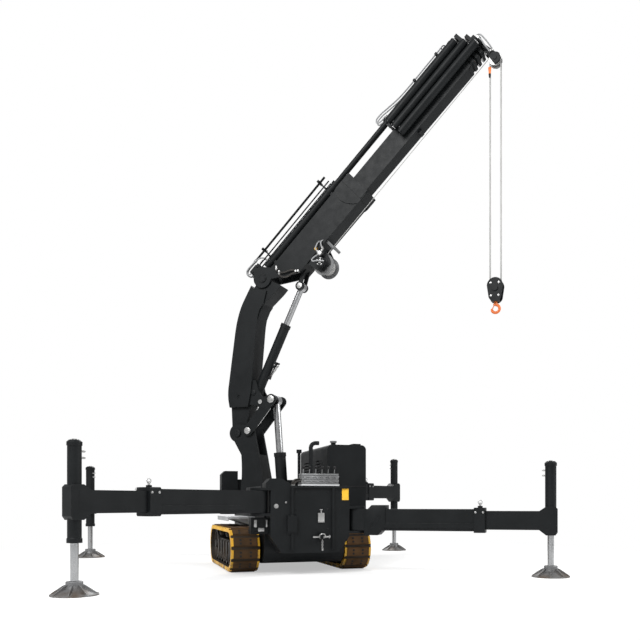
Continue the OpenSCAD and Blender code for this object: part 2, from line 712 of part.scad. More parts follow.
column_z = ring_deck_z + ring_h + fit;
flange_t = 50;
fork_z = 1780;
boom_pin_r = 45;
module column() color(paint) on_slew() {
    translate([0, 0, column_z]) cylinder(r = ring_r - 10, h = flange_t);
    plate(concat(bend([250, column_z], [150, 1280], [60, fork_z]), bend([-262, fork_z], [-225, 1300], [-330, column_z])),
        -column_half, column_half);
    plates([[-262, fork_z - past], [60, fork_z - past], link_pin + [100, 0], link_pin + [0, 100],
        boom_pin + [0, 140], boom_pin + [-140, 0]], cheek_in, column_half);
    pins(boom_pin, 150, cheek_in, column_half);
    pins(link_pin, 105, cheek_in, column_half);
    pin(boom_pin, boom_pin_r, -column_half - 15, column_half + 15);
    pins(link_pin, link_pin_r, column_half - past, link_out + 12);
    // Lugs of the lift cylinder
    plates([[150, column_z], [lift_foot.x + 100, column_z + 20], lift_foot + [100, 0], lift_foot + [0, 100],
        lift_foot + [-100, 40], [150, 1200]], 78, 108);
    pin(lift_foot, link_pin_r, -108, 108);
    // Gussets round the foot
    for (i = [0:5]) rotate([0, 0, 60 * i + 30]) plate([[0, column_z], [ring_r - 30, column_z], [ring_r - 30, column_z + flange_t + 10],
        [200, column_z + 240], [0, column_z + 240]], -9, 9);
}

eye_half = 72;
module lift_barrel() color(paint) {
    on_ram(lift_foot, lift_eye) difference() {
        union() {
            rotate([90, 0, 0]) translate([0, 0, -eye_half]) cylinder(r = 88, h = 2 * eye_half);
            cylinder(r = lift_r, h = lift_len);
            translate([0, 0, lift_len - 60]) cylinder(r = lift_r + 8, h = 60);
        }
        rotate([90, 0, 0]) translate([0, 0, -eye_half - past]) cylinder(r = link_pin_r + fit, h = 2 * (eye_half + past));
        translate([0, 0, 110]) cylinder(r = lift_rod_r + fit, h = lift_len);
        for (side = [-1, 1]) translate([-200, side > 0 ? eye_half : -eye_half - 60, -120]) cube([400, 60, 240]);
    }
}

lift_stretch = norm(lift_eye - lift_foot);
module lift_rod() color(chrome) on_ram(lift_foot, lift_eye) {
    translate([0, 0, lift_len - 60]) cylinder(r = lift_rod_r, h = lift_stretch - lift_len + 60);
    translate([0, 0, lift_stretch]) rotate([90, 0, 0]) translate([0, 0, -60]) cylinder(r = 80, h = 120);
}

module link_plates() color(paint) on_slew() {
    difference() {
        union() {
            plates(strip(link_pin, lift_eye, 85, 85), link_in, link_out);
            pins(link_pin, 85, link_in, link_out);
            pins(lift_eye, 85, link_in, link_out);
        }
        pins(link_pin, link_pin_r + fit, link_in - past, link_out + past);
    }
    pins(lift_eye, link_pin_r, 70, link_out);
}

module tie_links() color(paint) on_slew() difference() {
    union() {
        plates(strip(tie_pin, lift_eye, 70, 70), tie_in, tie_out);
        pins(tie_pin, 70, tie_in, tie_out);
        pins(lift_eye, 70, tie_in, tie_out);
    }
    pins(tie_pin, link_pin_r + fit, tie_in - past, tie_out + past);
    pins(lift_eye, link_pin_r + fit, tie_in - past, tie_out + past);
}

// Inner boom

module inner_boom_box() color(paint) on_slew() difference() {
    union() {
        // Foot between the column's cheeks
        pin(boom_pin, 130, -foot_half, foot_half);
        plate([boom_pin + [-125, 30], boom_pin + [-150, 560], boom_pin + [250, 560], boom_pin + [110, 70]],
            -foot_half, foot_half);
        // Main box, bent back low down and forward below the elbow
        plate(concat([boom_pin + [-150, 430]], bend(boom_pin + [-172, 560], boom_pin + [-185, 690], boom_pin + [-160, 830], 4),
            bend(boom_pin + [-44, 1650], boom_pin + [4, 1986], boom_pin + [130, 2200]),
            [boom_pin + [255, 2420], boom_pin + [300, 2350], boom_pin + [530, 2310], boom_pin + [475, 2103]],
            bend(boom_pin + [440, 2060], boom_pin + [365, 1980], boom_pin + [340, 1720]),
            [boom_pin + [244, 666], boom_pin + [190, 430]]), -inner_half, inner_half);
        // Head of the elbow
        plate([boom_pin + [200, 2250], elbow + elbow_r * [cos(215), sin(215)], elbow + elbow_r * [cos(-20), sin(-20)],
            boom_pin + [780, 2380], boom_pin + [705, 2300], boom_pin + [475, 2103], boom_pin + [350, 1830]], -head_half, head_half);
        pin(elbow, elbow_r, -head_half, head_half);
        // Lugs of the tie links and of the elbow cylinder
        plates([boom_pin + [100, 480], tie_pin + [-30, -65], tie_pin + [60, -30], tie_pin + [30, 65],
            knee_foot + [80, 40], knee_foot + [40, 200], boom_pin + [100, 900]], lug_in, lug_out);
        pins(tie_pin, 70, lug_in, lug_out);
        pins(knee_foot, 90, lug_in, lug_out);
    }
    pin(boom_pin, boom_pin_r + fit, -foot_half - past, foot_half + past);
    // Recess low on both sides
    pins(boom_pin + [30, 600], 30, inner_half - 12, inner_half + past);
    pin(elbow, elbow_pin_r + fit, -head_half - past, head_half + past);
    // Room for the elbow cylinder between the lugs
    pin(knee_foot, 125, -lug_in + past, lug_in - past);
    plate(strip(knee_foot, knee_foot + 0.5 * (knee_eye - knee_foot), 105, 135), -lug_in + past, lug_in - past);
    plate([knee_foot, knee_foot + [0, -160], knee_foot + [300, -160], knee_foot + [300, 200]],
        -lug_in + past, lug_in - past);
}
module inner_boom() {
    inner_boom_box();
    color(chrome) on_slew() {
        pins(tie_pin, link_pin_r, lug_in, tie_out + 6);
        pin(knee_foot, link_pin_r, -lug_out, lug_out);
    }
}

knee_stretch = norm(knee_eye - knee_foot);
knee_half = 84;
module elbow_barrel() color(paint) on_ram(knee_foot, knee_eye) difference() {
    union() {
        rotate([90, 0, 0]) translate([0, 0, -knee_half]) cylinder(r = 80, h = 2 * knee_half);
        cylinder(r = knee_r, h = knee_len);
        translate([0, 0, knee_len - 60]) cylinder(r = knee_r + 6, h = 60);
    }
    rotate([90, 0, 0]) translate([0, 0, -knee_half - past]) cylinder(r = link_pin_r + fit, h = 2 * (knee_half + past));
    translate([0, 0, 100]) cylinder(r = knee_rod_r + fit, h = knee_len);
}
knee_hold = 620;
module elbow_rod() color(chrome) on_ram(knee_foot, knee_eye) {
    translate([0, 0, knee_len - knee_hold]) cylinder(r = knee_rod_r, h = knee_stretch - knee_len + knee_hold);
    translate([0, 0, knee_stretch]) rotate([90, 0, 0]) translate([0, 0, -50]) cylinder(r = 70, h = 100);
}

// Outer boom

knee_lug_in = 65;
knee_lug_out = 95;
ring_out = 8;
first_len = 1740;
first_from = 160;
pipe_r = 11;
pipe_n = 46;
pipe_t = ram_top + ram_r + 46;
collar_from = root_len - 160;
module outer_boom() color(paint) on_boom() difference() {
    union() {
        // Side plates that run back to the elbow
        plates([[-55, 175], [100, 175], [220, 0], [root_len, 0], [root_len, -root_h], [490, -root_h], [90, -130],
            [-60, -130]], root_half - root_wall, root_half);
        pins([0, 0], elbow_r, root_half - root_wall, root_half);
        pin([0, 0], elbow_pin_r, -root_half, root_half);
        pins([0, 0], elbow_pin_r + 25, root_half - past, root_half + 14);
        // Block of the hoses over the elbow
        box([-80, -root_half, elbow_r + 12], [120, root_half, 238]);
        // Top and bottom plates
        box([220, -root_half, -20], [root_len, root_half, 0]);
        box([490, -root_half, -root_h], [root_len, root_half, 20 - root_h]);
        // Collar at the mouth, with its cheeks
        difference() {
            translate([0, 0, -root_h / 2]) along_x(collar_from, root_len) polygon(cut_rect(2 * root_half + 40, root_h + 34, 22));
            translate([0, 0, ext_mid]) bar(collar_from - past, root_len + past, ext_w + 2 * fit, ext_h + 2 * fit);
        }
        plates(concat([[root_len - 40, 10], [root_len - 300, 10]], bend([root_len - 340, 0], [root_len - 470, -root_h / 2],
            [root_len - 250, -root_h]), [[root_len - 200, -root_h - 12], [root_len - 40, -root_h - 12]]),
            root_half - past, root_half + 12);
        // Lugs of the elbow cylinder
        plates([[knee_eye_s - 70, knee_eye_t], [knee_eye_s, knee_eye_t - 70], [knee_eye_s + 70, knee_eye_t],
            [620, 10 - root_h], [500, 10 - root_h]], knee_lug_in, knee_lug_out);
        pins([knee_eye_s, knee_eye_t], 72, knee_lug_in, knee_lug_out);
        // Cylinder of the first section in its clamps
        translate([first_from, 0, ram_top]) rotate([0, 90, 0]) cylinder(r = ram_r, h = first_len);
        for (s = [first_from, 300, 1700, first_from + first_len - 50])
            translate([s, 0, ram_top]) rotate([0, 90, 0]) cylinder(r = ram_r + ring_out, h = 50);
        for (s = [300, 1700]) box([s, -45, -10], [s + 50, 45, ram_top]);
        // Pipes over the cylinder, on their posts
        for (side = [-1, 1]) translate([first_from - 60, side * pipe_n, pipe_t]) rotate([0, 90, 0]) cylinder(r = pipe_r, h = first_len);
        for (s = [330, 1720]) box([s - 15, -pipe_n - pipe_r - 6, ram_top + ram_r - 6], [s + 15, pipe_n + pipe_r + 6, pipe_t]);
    }
    translate([first_from + 160, 0, ram_top]) rotate([0, 90, 0]) cylinder(r = first_rod_r + fit, h = first_len);
}

motor_r = 72;
motor_len = 130;
module winch_frame() color(paint) on_boom() difference() {
    union() {
        plates([[winch_s - 170, -root_h], [winch_s - 120, winch_t - 50], [winch_s - 80, winch_t - 90], [winch_s + 80, winch_t - 90],
            [winch_s + 120, winch_t - 50], [winch_s + 210, -root_h]], drum_half + 12, drum_half + 32);
        // Motor on the near side and the tie bars
        pin([winch_s, winch_t], motor_r, -drum_half - 30 - motor_len, -drum_half - 30);
        pin([winch_s, winch_t], motor_r + 16, -drum_half - 60, -drum_half - 30);
        box([winch_s - 45, -drum_half - 30 - motor_len + 10, winch_t + motor_r - 12],
            [winch_s + 45, -drum_half - 62, winch_t + motor_r + 34]);
        for (at = [[winch_s - 138, winch_t + 130], [winch_s + 150, winch_t + 165]])
            pin(at, 12, -drum_half - 20, drum_half + 20);
    }
    pins([winch_s, winch_t], 45 + fit, drum_half, drum_half + 42);
    pin([winch_s, winch_t], flange_r + run, -drum_half - 6, drum_half + 6);
}
module winch_drum() color(zinc) on_boom() {
    pin([winch_s, winch_t], drum_r, -drum_half, drum_half);
    pins([winch_s, winch_t], flange_r, drum_half - 15, drum_half);
    pin([winch_s, winch_t], 45, -drum_half - 36, drum_half + 36);
}

// Telescoping sections

// Side offset and height of the cylinder that a section carries; the first lies on top
function ram_at(k) = k == 1 ? [0, ram_top] : [-ram_side, 30 - (k - 2) * ram_pitch];
step = 2 * (ext_wall + ext_gap);
function sec_w(k) = ext_w - (k - 1) * step;
function sec_h(k) = ext_h - (k - 1) * step;
function sec_head(k) = head_s + (k - 1) * head_pitch;
function sec_tail(k) = k == 1 ? 1340 : 2350 + k * 90;

// Box of a section with its slide pads
module section_box(k) translate([0, 0, ext_mid]) difference() {
    union() {
        bar(sec_tail(k), sec_head(k) + head_t, sec_w(k), sec_h(k));
        if (k > 1)
            bar(sec_tail(k), sec_tail(k) + 70, sec_w(k) + 2 * (ext_gap - fit), sec_h(k) + 2 * (ext_gap - fit));
        if (k == 1)
            bar(sec_tail(k), sec_tail(k) + 70, 2 * (root_half - root_wall - fit), sec_h(k));
    }
    if (k < 5)
        bar(sec_tail(k) - past, sec_head(k) + head_t + past, sec_w(k) - 2 * ext_wall, sec_h(k) - 2 * ext_wall);
}

// Head plate round a section, reaching the rod that pushes it and the cylinder that it carries
module section_head(k) {
    s = sec_head(k);
    difference() {
        union() {
            translate([0, 0, ext_mid]) along_x(s, s + head_t) polygon(cut_rect(ext_w - 6, ext_h + 10, 20));
            if (k == 1) box([s, -60, ext_mid], [s + head_t, 60, ram_at(1).y + 40]);
            if (k == 2) {
                box([s, -60, ext_mid], [s + head_t, 60, ram_at(1).y + 40]);
                box([s, -ram_side - 40, ram_at(2).y - 40], [s + head_t, 0, ram_at(2).y + 40]);
            }
            if (k > 2)
                box([s, -ram_side - 40, ram_at(min(k, 4)).y - 40], [s + head_t, 0, ram_at(k - 1).y + 40]);
        }
        if (k < 5)
            translate([0, 0, ext_mid]) bar(s - past, s + head_t + past, sec_w(k) - 2 * ext_wall, sec_h(k) - 2 * ext_wall);
    }
}

module section(k) color(paint) on_boom() {
    difference() {
        union() {
            section_box(k);
            section_head(k);
            if (k < 5)
                translate([ram_from, ram_at(k).x, ram_at(k).y]) rotate([0, 90, 0]) {
                    cylinder(r = ram_r - 10, h = 40);
                    translate([0, 0, 22]) cylinder(r = ram_r, h = sec_head(k) + head_t - ram_from - 22);
                }
        }
        if (k < 5)
            translate([ram_from + 60, ram_at(k).x, ram_at(k).y]) rotate([0, 90, 0])
                cylinder(r = ram_rod_r + fit, h = ram_len * 2);
    }
    if (k > 1)
        translate([ram_from + 80, ram_at(k - 1).x, ram_at(k - 1).y]) rotate([0, 90, 0])
            cylinder(r = ram_rod_r, h = sec_head(k) - ram_from - 80 + 10);
}
lug_s = 3050;
module section_1() {
    section(1);
    on_boom() {
        color(chrome) translate([lug_s - 1570, 0, ram_top]) rotate([0, 90, 0]) cylinder(r = first_rod_r, h = 1600);
        // Lug of the first rod, the pad under the box and the ring on the head
        color(paint) {
            plate([[lug_s, ext_mid + ext_h / 2 - 5], [lug_s, ram_top + 40], [lug_s + 20, ram_top + 60], [lug_s + 60, ram_top + 60],
                [lug_s + 80, ram_top + 40], [lug_s + 120, ext_mid + ext_h / 2 - 5]], -34, 34);
            plate([[lug_s + 210, ext_mid - ext_h / 2 + 5], [lug_s + 225, ext_mid - ext_h / 2 - 45], [lug_s + 280, ext_mid - ext_h / 2 - 45],
                [lug_s + 300, ext_mid - ext_h / 2 + 5]], -60, 60);
            translate([head_s + head_t / 2, 0, ram_top + 72]) rotate([90, 0, 0]) rotate_extrude() translate([32, 0]) circle(8);
        }
    }
}
module section_2() section(2);
module section_3() section(3);
module section_4() section(4);
module section_5() {
    section(5);
    color(paint) on_boom() {
        plates(concat([[sec_head(5), ext_mid + 100], [sec_head(5) + head_t, ext_mid + 100]],
            arc([tip_s, tip_t], 84, 40, -140, 12), [[sec_head(5), ext_mid - 100]]), 2 * sheave_n - 10, 2 * sheave_n + 10);
        pin([tip_s, tip_t], 30, -2 * sheave_n - 20, 2 * sheave_n + 20);
    }
}

// Hoist

// Pair of grooved sheaves on one axis, with a bore
module sheaves(bore) for (side = [-1, 1]) translate([0, side * sheave_n, 0]) rotate([90, 0, 0]) difference() {
    translate([0, 0, -sheave_w / 2]) cylinder(r = sheave_r, h = sheave_w);
    rotate_extrude() polygon([[groove_r, -rope_r - 1], [sheave_r + past, -sheave_w / 2 + 3],
        [sheave_r + past, sheave_w / 2 - 3], [groove_r, rope_r + 1]]);
    translate([0, 0, -sheave_w]) cylinder(r = bore, h = 2 * sheave_w);
}
module tip_sheaves() color(zinc) on_slew() translate([tip.x, 0, tip.y]) sheaves(30 + fit);

// Rope from the drum to the tip, under the boom
module hoist_rope() color(rope_grey) on_boom() {
    a = [winch_s, winch_t + drum_r + rope_r + fit];
    b = [tip_s, tip_t + fall_r];
    lean = atan2(b.y - a.y, b.x - a.x);
    translate([a.x, -sheave_n, a.y]) rotate([0, 90 - lean, 0]) cylinder(r = rope_r, h = norm(b - a));
}

module rope_falls() color(rope_grey) on_slew() for (side = [-1, 1], end = [-1, 1])
    translate([tip.x + end * fall_r, side * sheave_n, block_z]) cylinder(r = rope_r, h = tip.y - block_z);

module hook_block() color(paint) on_slew() translate([tip.x, 0, block_z]) {
    plates(concat(arc([0, 40], 118, 0, 180, 12), arc([0, -block_h / 2 + 60], 96, 180, 360, 12)), 2 * sheave_n - 10, 2 * sheave_n + 10);
    sheaves(20);
    pin([0, 0], 25, -2 * sheave_n - 20, 2 * sheave_n + 20);
    pins([0, 0], 46, 2 * sheave_n + 8, 2 * sheave_n + 26);
    box([-60, -2 * sheave_n, -block_h / 2 - 20], [60, 2 * sheave_n, -block_h / 2 + 40]);
}
hook_r = 58;
hook_t = 21;
shank = 50;
module hook() color(orange) on_slew() translate([tip.x, 0, block_z - block_h / 2 - 20 - fit]) {
    translate([0, 0, -shank]) cylinder(r = 25, h = shank);
    translate([0, 0, -shank - 8]) cylinder(r = 36, h = 24);
    translate([0, 0, -shank - hook_r]) rotate([90, 0, 0]) {
        rotate([0, 0, 90]) rotate_extrude(angle = -245) translate([hook_r, 0]) circle(hook_t);
        // Tip of the bowl and the latch across the mouth
        rotate([0, 0, -155]) translate([hook_r, 0, 0]) rotate([90, 0, 0]) cylinder(r1 = hook_t, r2 = 9, h = 30);
        linear_extrude(14, center = true) polygon([[-12, hook_r + 6], [-26, hook_r - 4], [-hook_r - 8, -16], [-hook_r + 6, -24]]);
    }
}

chassis_frame();
front_frame();
rear_frame();
engine_bed();
front_body();
engine_hood();
engine_block();
track_left();
track_right();
track_frame_left();
track_frame_right();
valve_bank();
exhaust_pipe();
side_step();
slew_ring();
column();
lift_barrel();
lift_rod();
link_plates();
tie_links();
inner_boom();
elbow_barrel();
elbow_rod();
outer_boom();
winch_frame();
winch_drum();
section_1();
section_2();
section_3();
section_4();
section_5();
tip_sheaves();
hoist_rope();
rope_falls();
hook_block();
hook();
arm_lf();
arm_rf();
arm_lr();
arm_rr();
beam_lf();
beam_rf();
beam_lr();
beam_rr();
leg_lf();
leg_rf();
leg_lr();
leg_rr();
foot_lf();
foot_rf();
foot_lr();
foot_rr();
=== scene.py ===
"""Looks of a tracked knuckle-boom crane on outriggers.

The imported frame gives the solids. This script gives every node its finish and adds the
small pieces that the solids leave out. Metres: X across the machine, Y to its rear, Z up.
"""

import json
import logging
import math
from collections.abc import Callable
from dataclasses import dataclass
from enum import Enum

import bmesh
import bpy
from mathutils import Matrix, Vector

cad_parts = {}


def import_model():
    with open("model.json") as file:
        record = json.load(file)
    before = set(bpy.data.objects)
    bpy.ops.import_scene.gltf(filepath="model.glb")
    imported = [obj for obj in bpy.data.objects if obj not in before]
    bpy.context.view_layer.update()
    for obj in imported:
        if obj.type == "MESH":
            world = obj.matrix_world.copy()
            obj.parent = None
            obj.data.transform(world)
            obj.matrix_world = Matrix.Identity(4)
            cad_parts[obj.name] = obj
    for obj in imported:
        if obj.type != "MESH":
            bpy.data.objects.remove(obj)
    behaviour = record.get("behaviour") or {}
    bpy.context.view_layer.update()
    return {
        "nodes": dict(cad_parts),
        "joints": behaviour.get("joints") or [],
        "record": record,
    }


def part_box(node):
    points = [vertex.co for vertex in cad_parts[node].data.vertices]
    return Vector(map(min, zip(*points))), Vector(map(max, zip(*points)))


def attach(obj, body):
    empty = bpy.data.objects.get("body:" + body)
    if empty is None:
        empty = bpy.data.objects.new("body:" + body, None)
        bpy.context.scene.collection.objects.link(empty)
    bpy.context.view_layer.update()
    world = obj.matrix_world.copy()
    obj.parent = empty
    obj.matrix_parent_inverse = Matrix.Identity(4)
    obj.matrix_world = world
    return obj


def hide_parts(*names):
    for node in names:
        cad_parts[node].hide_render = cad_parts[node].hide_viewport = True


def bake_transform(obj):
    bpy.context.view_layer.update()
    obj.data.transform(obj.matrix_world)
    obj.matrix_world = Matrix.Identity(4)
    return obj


LOG = logging.getLogger("crane")
Point = tuple[float, float, float]
Colour = tuple[float, float, float]
Socket = bpy.types.NodeSocket


class Pattern(Enum):
    """The fine relief that a finish carries."""

    ORANGE_PEEL = "orange_peel"
    CAST = "cast"
    BRUSHED = "brushed"
    TREAD = "tread"
    LAID_ROPE = "laid_rope"
    RIBBED_HOSE = "ribbed_hose"


@dataclass(frozen=True)
class Finish:
    """A surface finish with its colour, gloss, relief, worn edges and dirt.

    Attributes:
        name: Name of the material.
        colour: Main colour, linear.
        shade: Colour that a slow noise mixes in.
        roughness: Lowest and highest roughness.
        metallic: How much of a metal the surface is.
        pattern: Fine relief.
        relief: Height of the relief, in metres.
        worn: Colour of worn edges, or None for none.
        dirt: Colour of the dirt near the ground, or None for none.
        dirt_top: Height at which the dirt ends.
        edge: Radius of the rounded edges that the light shows.
        specular: Strength of the mirror share of paint and rubber.
    """

    name: str
    colour: Colour
    shade: Colour
    roughness: tuple[float, float]
    metallic: float = 0.0
    pattern: Pattern = Pattern.ORANGE_PEEL
    relief: float = 0.0006
    worn: Colour | None = None
    dirt: Colour | None = None
    dirt_top: float = 0.9
    edge: float = 0.005
    specular: float = 0.5

    def material(self) -> bpy.types.Material:
        """Makes the material once and returns it.

        Returns:
            The material of this finish.
        """
        found = bpy.data.materials.get("finish_" + self.name)
        if found is not None:
            return found
        material = bpy.data.materials.new("finish_" + self.name)
        material.use_nodes = True
        material.diffuse_color = (*self.colour, 1.0)
        tree = ShaderTree(material.node_tree)
        shader = tree.shader()
        shader.inputs["Metallic"].default_value = self.metallic
        shader.inputs["Specular IOR Level"].default_value = self.specular
        place = tree.place()
        clouds = tree.noise(place, scale=3.0, detail=4.0, low=0.38, high=0.62)
        colour = tree.mix(clouds, self.colour, self.shade)
        rounded = tree.rounded_normal(self.edge)
        if self.worn is not None:
            colour = tree.mix(tree.edge_mask(rounded, place), colour, self.worn)
        if self.dirt is not None:
            colour = tree.mix(tree.dirt_mask(place, self.dirt_top), colour, self.dirt)
        tree.link(colour, shader.inputs["Base Color"])
        dull, gloss = self.roughness[1], self.roughness[0]
        smears = tree.noise(place, scale=9.0, detail=5.0, low=0.3, high=0.7, to_low=gloss, to_high=dull)
        tree.link(smears, shader.inputs["Roughness"])
        tree.link(tree.bump(tree.height(place, self.pattern), self.relief, rounded), shader.inputs["Normal"])
        return material


class ShaderTree:
    """Short names for the nodes that the finishes share."""

    def __init__(self, tree: bpy.types.NodeTree) -> None:
        """Keeps the node tree of one material."""
        self.tree = tree

    def node(self, kind: str) -> bpy.types.Node:
        """Adds a node of a kind and returns it."""
        return self.tree.nodes.new(kind)

    def link(self, source: Socket, target: Socket) -> None:
        """Links one socket to another."""
        self.tree.links.new(source, target)

    def shader(self) -> bpy.types.Node:
        """Returns the principled shader that a new material has."""
        return next(n for n in self.tree.nodes if n.type == "BSDF_PRINCIPLED")

    def output(self) -> bpy.types.Node:
        """Returns the output node that a new material has."""
        return next(n for n in self.tree.nodes if n.type == "OUTPUT_MATERIAL")

    def place(self) -> Socket:
        """Returns the object coordinates."""
        return self.node("ShaderNodeTexCoord").outputs["Object"]

    def noise(
        self,
        place: Socket,
        scale: float,
        detail: float,
        low: float,
        high: float,
        to_low: float = 0.0,
        to_high: float = 1.0,
    ) -> Socket:
        """Adds a noise and stretches its middle to a range.

        Args:
            place: Coordinates that the noise reads.
            scale: Scale of the noise.
            detail: Octaves of the noise.
            low: Noise value that becomes to_low.
            high: Noise value that becomes to_high.
            to_low: Lowest result.
            to_high: Highest result.

        Returns:
            The socket of the stretched noise.
        """
        noise = self.node("ShaderNodeTexNoise")
        noise.inputs["Scale"].default_value = scale
        noise.inputs["Detail"].default_value = detail
        self.link(place, noise.inputs["Vector"])
        return self.stretch(noise.outputs["Fac"], low, high, to_low, to_high)

    def stretch(
        self, value: Socket, low: float, high: float, to_low: float = 0.0, to_high: float = 1.0
    ) -> Socket:
        """Maps a value from one range to another, clamped.

        Args:
            value: Socket of the value.
            low: Value that becomes to_low.
            high: Value that becomes to_high.
            to_low: Result at low.
            to_high: Result at high.

        Returns:
            The socket of the result.
        """
        ramp = self.node("ShaderNodeMapRange")
        for name, number in (("From Min", low), ("From Max", high), ("To Min", to_low), ("To Max", to_high)):
            ramp.inputs[name].default_value = number
        self.link(value, ramp.inputs["Value"])
        return ramp.outputs["Result"]

    def mix(
        self,
        share: Socket,
        first: Socket | Colour,
        second: Socket | Colour,
    ) -> Socket:
        """Mixes two colours by a share.

        Args:
            share: Share of the second colour.
            first: Colour or socket at share 0.
            second: Colour or socket at share 1.

        Returns:
            The socket of the mixed colour.
        """
        mix = self.node("ShaderNodeMix")
        mix.data_type = "RGBA"
        self.link(share, mix.inputs["Factor"])
        for value, socket in ((first, mix.inputs[6]), (second, mix.inputs[7])):
            if isinstance(value, Socket):
                self.link(value, socket)
            else:
                socket.default_value = (*value, 1.0)
        return mix.outputs[2]

    def math(
        self, operation: str, first: Socket, second: Socket | float
    ) -> Socket:
        """Works out one sum of a socket with a socket or a number.

        Args:
            operation: Name of the sum.
            first: Socket of the first value.
            second: Socket of the second value, or a number.

        Returns:
            The socket of the result.
        """
        node = self.node("ShaderNodeMath")
        node.operation = operation
        self.link(first, node.inputs[0])
        if isinstance(second, Socket):
            self.link(second, node.inputs[1])
        else:
            node.inputs[1].default_value = second
        return node.outputs[0]

    def rounded_normal(self, radius: float) -> Socket:
        """Adds a normal that rounds the edges by a radius.

        Args:
            radius: Radius of the edges, in metres.

        Returns:
            The socket of the normal.
        """
        bevel = self.node("ShaderNodeBevel")
        bevel.samples = 4
        bevel.inputs["Radius"].default_value = radius
        return bevel.outputs["Normal"]

    def edge_mask(self, rounded: Socket, place: Socket) -> Socket:
        """Makes a mask that is high on edges, broken up by a noise.

        Args:
            rounded: Normal of the rounded edges.
            place: Coordinates that the noise reads.

        Returns:
            The socket of the mask.
        """
        dot = self.node("ShaderNodeVectorMath")
        dot.operation = "DOT_PRODUCT"
        self.link(rounded, dot.inputs[0])
        self.link(self.node("ShaderNodeNewGeometry").outputs["Normal"], dot.inputs[1])
        edge = self.stretch(dot.outputs["Value"], 0.99, 0.86)
        return self.math("MULTIPLY", edge, self.noise(place, scale=14.0, detail=6.0, low=0.45, high=0.66))

    def dirt_mask(self, place: Socket, top: float) -> Socket:
        """Makes a mask that is high near the ground, broken up by a noise.

        Args:
            place: Coordinates that give the height and that the noise reads.
            top: Height at which the mask ends.

        Returns:
            The socket of the mask.
        """
        split = self.node("ShaderNodeSeparateXYZ")
        self.link(place, split.inputs[0])
        low = self.stretch(split.outputs["Z"], top, 0.0)
        return self.math("MULTIPLY", low, self.noise(place, scale=6.0, detail=8.0, low=0.36, high=0.66))

    def height(self, place: Socket, pattern: Pattern) -> Socket:
        """Returns the height field of a pattern.

        Args:
            place: Coordinates that the pattern reads.
            pattern: Kind of relief.

        Returns:
            The socket of the height, from 0 to 1.
        """
        if pattern is Pattern.ORANGE_PEEL:
            return self.noise(place, scale=90.0, detail=3.0, low=0.0, high=1.0)
        if pattern is Pattern.CAST:
            return self.noise(place, scale=160.0, detail=6.0, low=0.0, high=1.0)
        if pattern is Pattern.BRUSHED:
            drawn = self.scaled(place, (1.0, 1.0, 30.0))
            return self.noise(drawn, scale=40.0, detail=4.0, low=0.0, high=1.0)
        if pattern is Pattern.TREAD:
            return self.tread(place)
        turns = 420.0 if pattern is Pattern.LAID_ROPE else 160.0
        wave = self.node("ShaderNodeTexWave")
        wave.bands_direction = "DIAGONAL" if pattern is Pattern.LAID_ROPE else "Z"
        wave.inputs["Scale"].default_value = turns / 20.0
        self.link(place, wave.inputs["Vector"])
        return wave.outputs["Fac"]

    def scaled(self, place: Socket, by: Point) -> Socket:
        """Scales coordinates along their axes.

        Args:
            place: The coordinates.
            by: Factor for each axis.

        Returns:
            The socket of the scaled coordinates.
        """
        mapping = self.node("ShaderNodeMapping")
        mapping.inputs["Scale"].default_value = by
        self.link(place, mapping.inputs["Vector"])
        return mapping.outputs["Vector"]

    def tread(self, place: Socket) -> Socket:
        """Makes the raised bars of tread plate, laid in two directions in turn.

        Args:
            place: Coordinates that the bars read.

        Returns:
            The socket of the height.
        """
        checker = self.node("ShaderNodeTexChecker")
        checker.inputs["Scale"].default_value = 28.0
        self.link(place, checker.inputs["Vector"])
        bars = []
        for across in ("X", "Y"):
            wave = self.node("ShaderNodeTexWave")
            wave.bands_direction = across
            wave.inputs["Scale"].default_value = 13.0
            self.link(place, wave.inputs["Vector"])
            bars.append(self.stretch(wave.outputs["Fac"], 0.72, 0.9))
        pick = self.node("ShaderNodeMix")
        self.link(checker.outputs["Fac"], pick.inputs["Factor"])
        self.link(bars[0], pick.inputs[2])
        self.link(bars[1], pick.inputs[3])
        return pick.outputs[0]

    def bump(
        self, height: Socket, relief: float, rounded: Socket
    ) -> Socket:
        """Makes the normal of a relief on rounded edges.

        Args:
            height: Height field of the relief.
            relief: Height of the relief, in metres.
            rounded: Normal of the rounded edges.

        Returns:
            The socket of the normal.
        """
        bump = self.node("ShaderNodeBump")
        bump.inputs["Strength"].default_value = 0.6
        bump.inputs["Distance"].default_value = relief
        self.link(height, bump.inputs["Height"])
        self.link(rounded, bump.inputs["Normal"])
        return bump.outputs["Normal"]


SOIL: Colour = (0.075, 0.05, 0.03)
BLACK_PAINT = Finish(
    "black_paint", (0.0052, 0.0062, 0.0068), (0.0072, 0.0083, 0.009), (0.44, 0.54),
    worn=(0.035, 0.036, 0.036), relief=0.0004, specular=0.14,
)
TRACK_YELLOW = Finish(
    "track_yellow", (0.72, 0.4, 0.014), (0.6, 0.31, 0.011), (0.45, 0.7),
    worn=(0.2, 0.13, 0.06), dirt=SOIL, dirt_top=0.3,
)
PAD_SOIL = Finish(
    "soiled_pad", (0.085, 0.043, 0.016), (0.045, 0.025, 0.011), (0.7, 0.95),
    pattern=Pattern.CAST, relief=0.003, specular=0.2,
)
CHAIN_STEEL = Finish(
    "chain_steel", (0.012, 0.01, 0.008), (0.028, 0.02, 0.013), (0.6, 0.9), pattern=Pattern.CAST, specular=0.25
)
FRAME_BLACK = Finish(
    "dusty_frame", (0.009, 0.009, 0.009), (0.018, 0.015, 0.012), (0.5, 0.75),
    worn=(0.17, 0.12, 0.075), dirt=(0.05, 0.036, 0.024), dirt_top=0.6, specular=0.28,
)
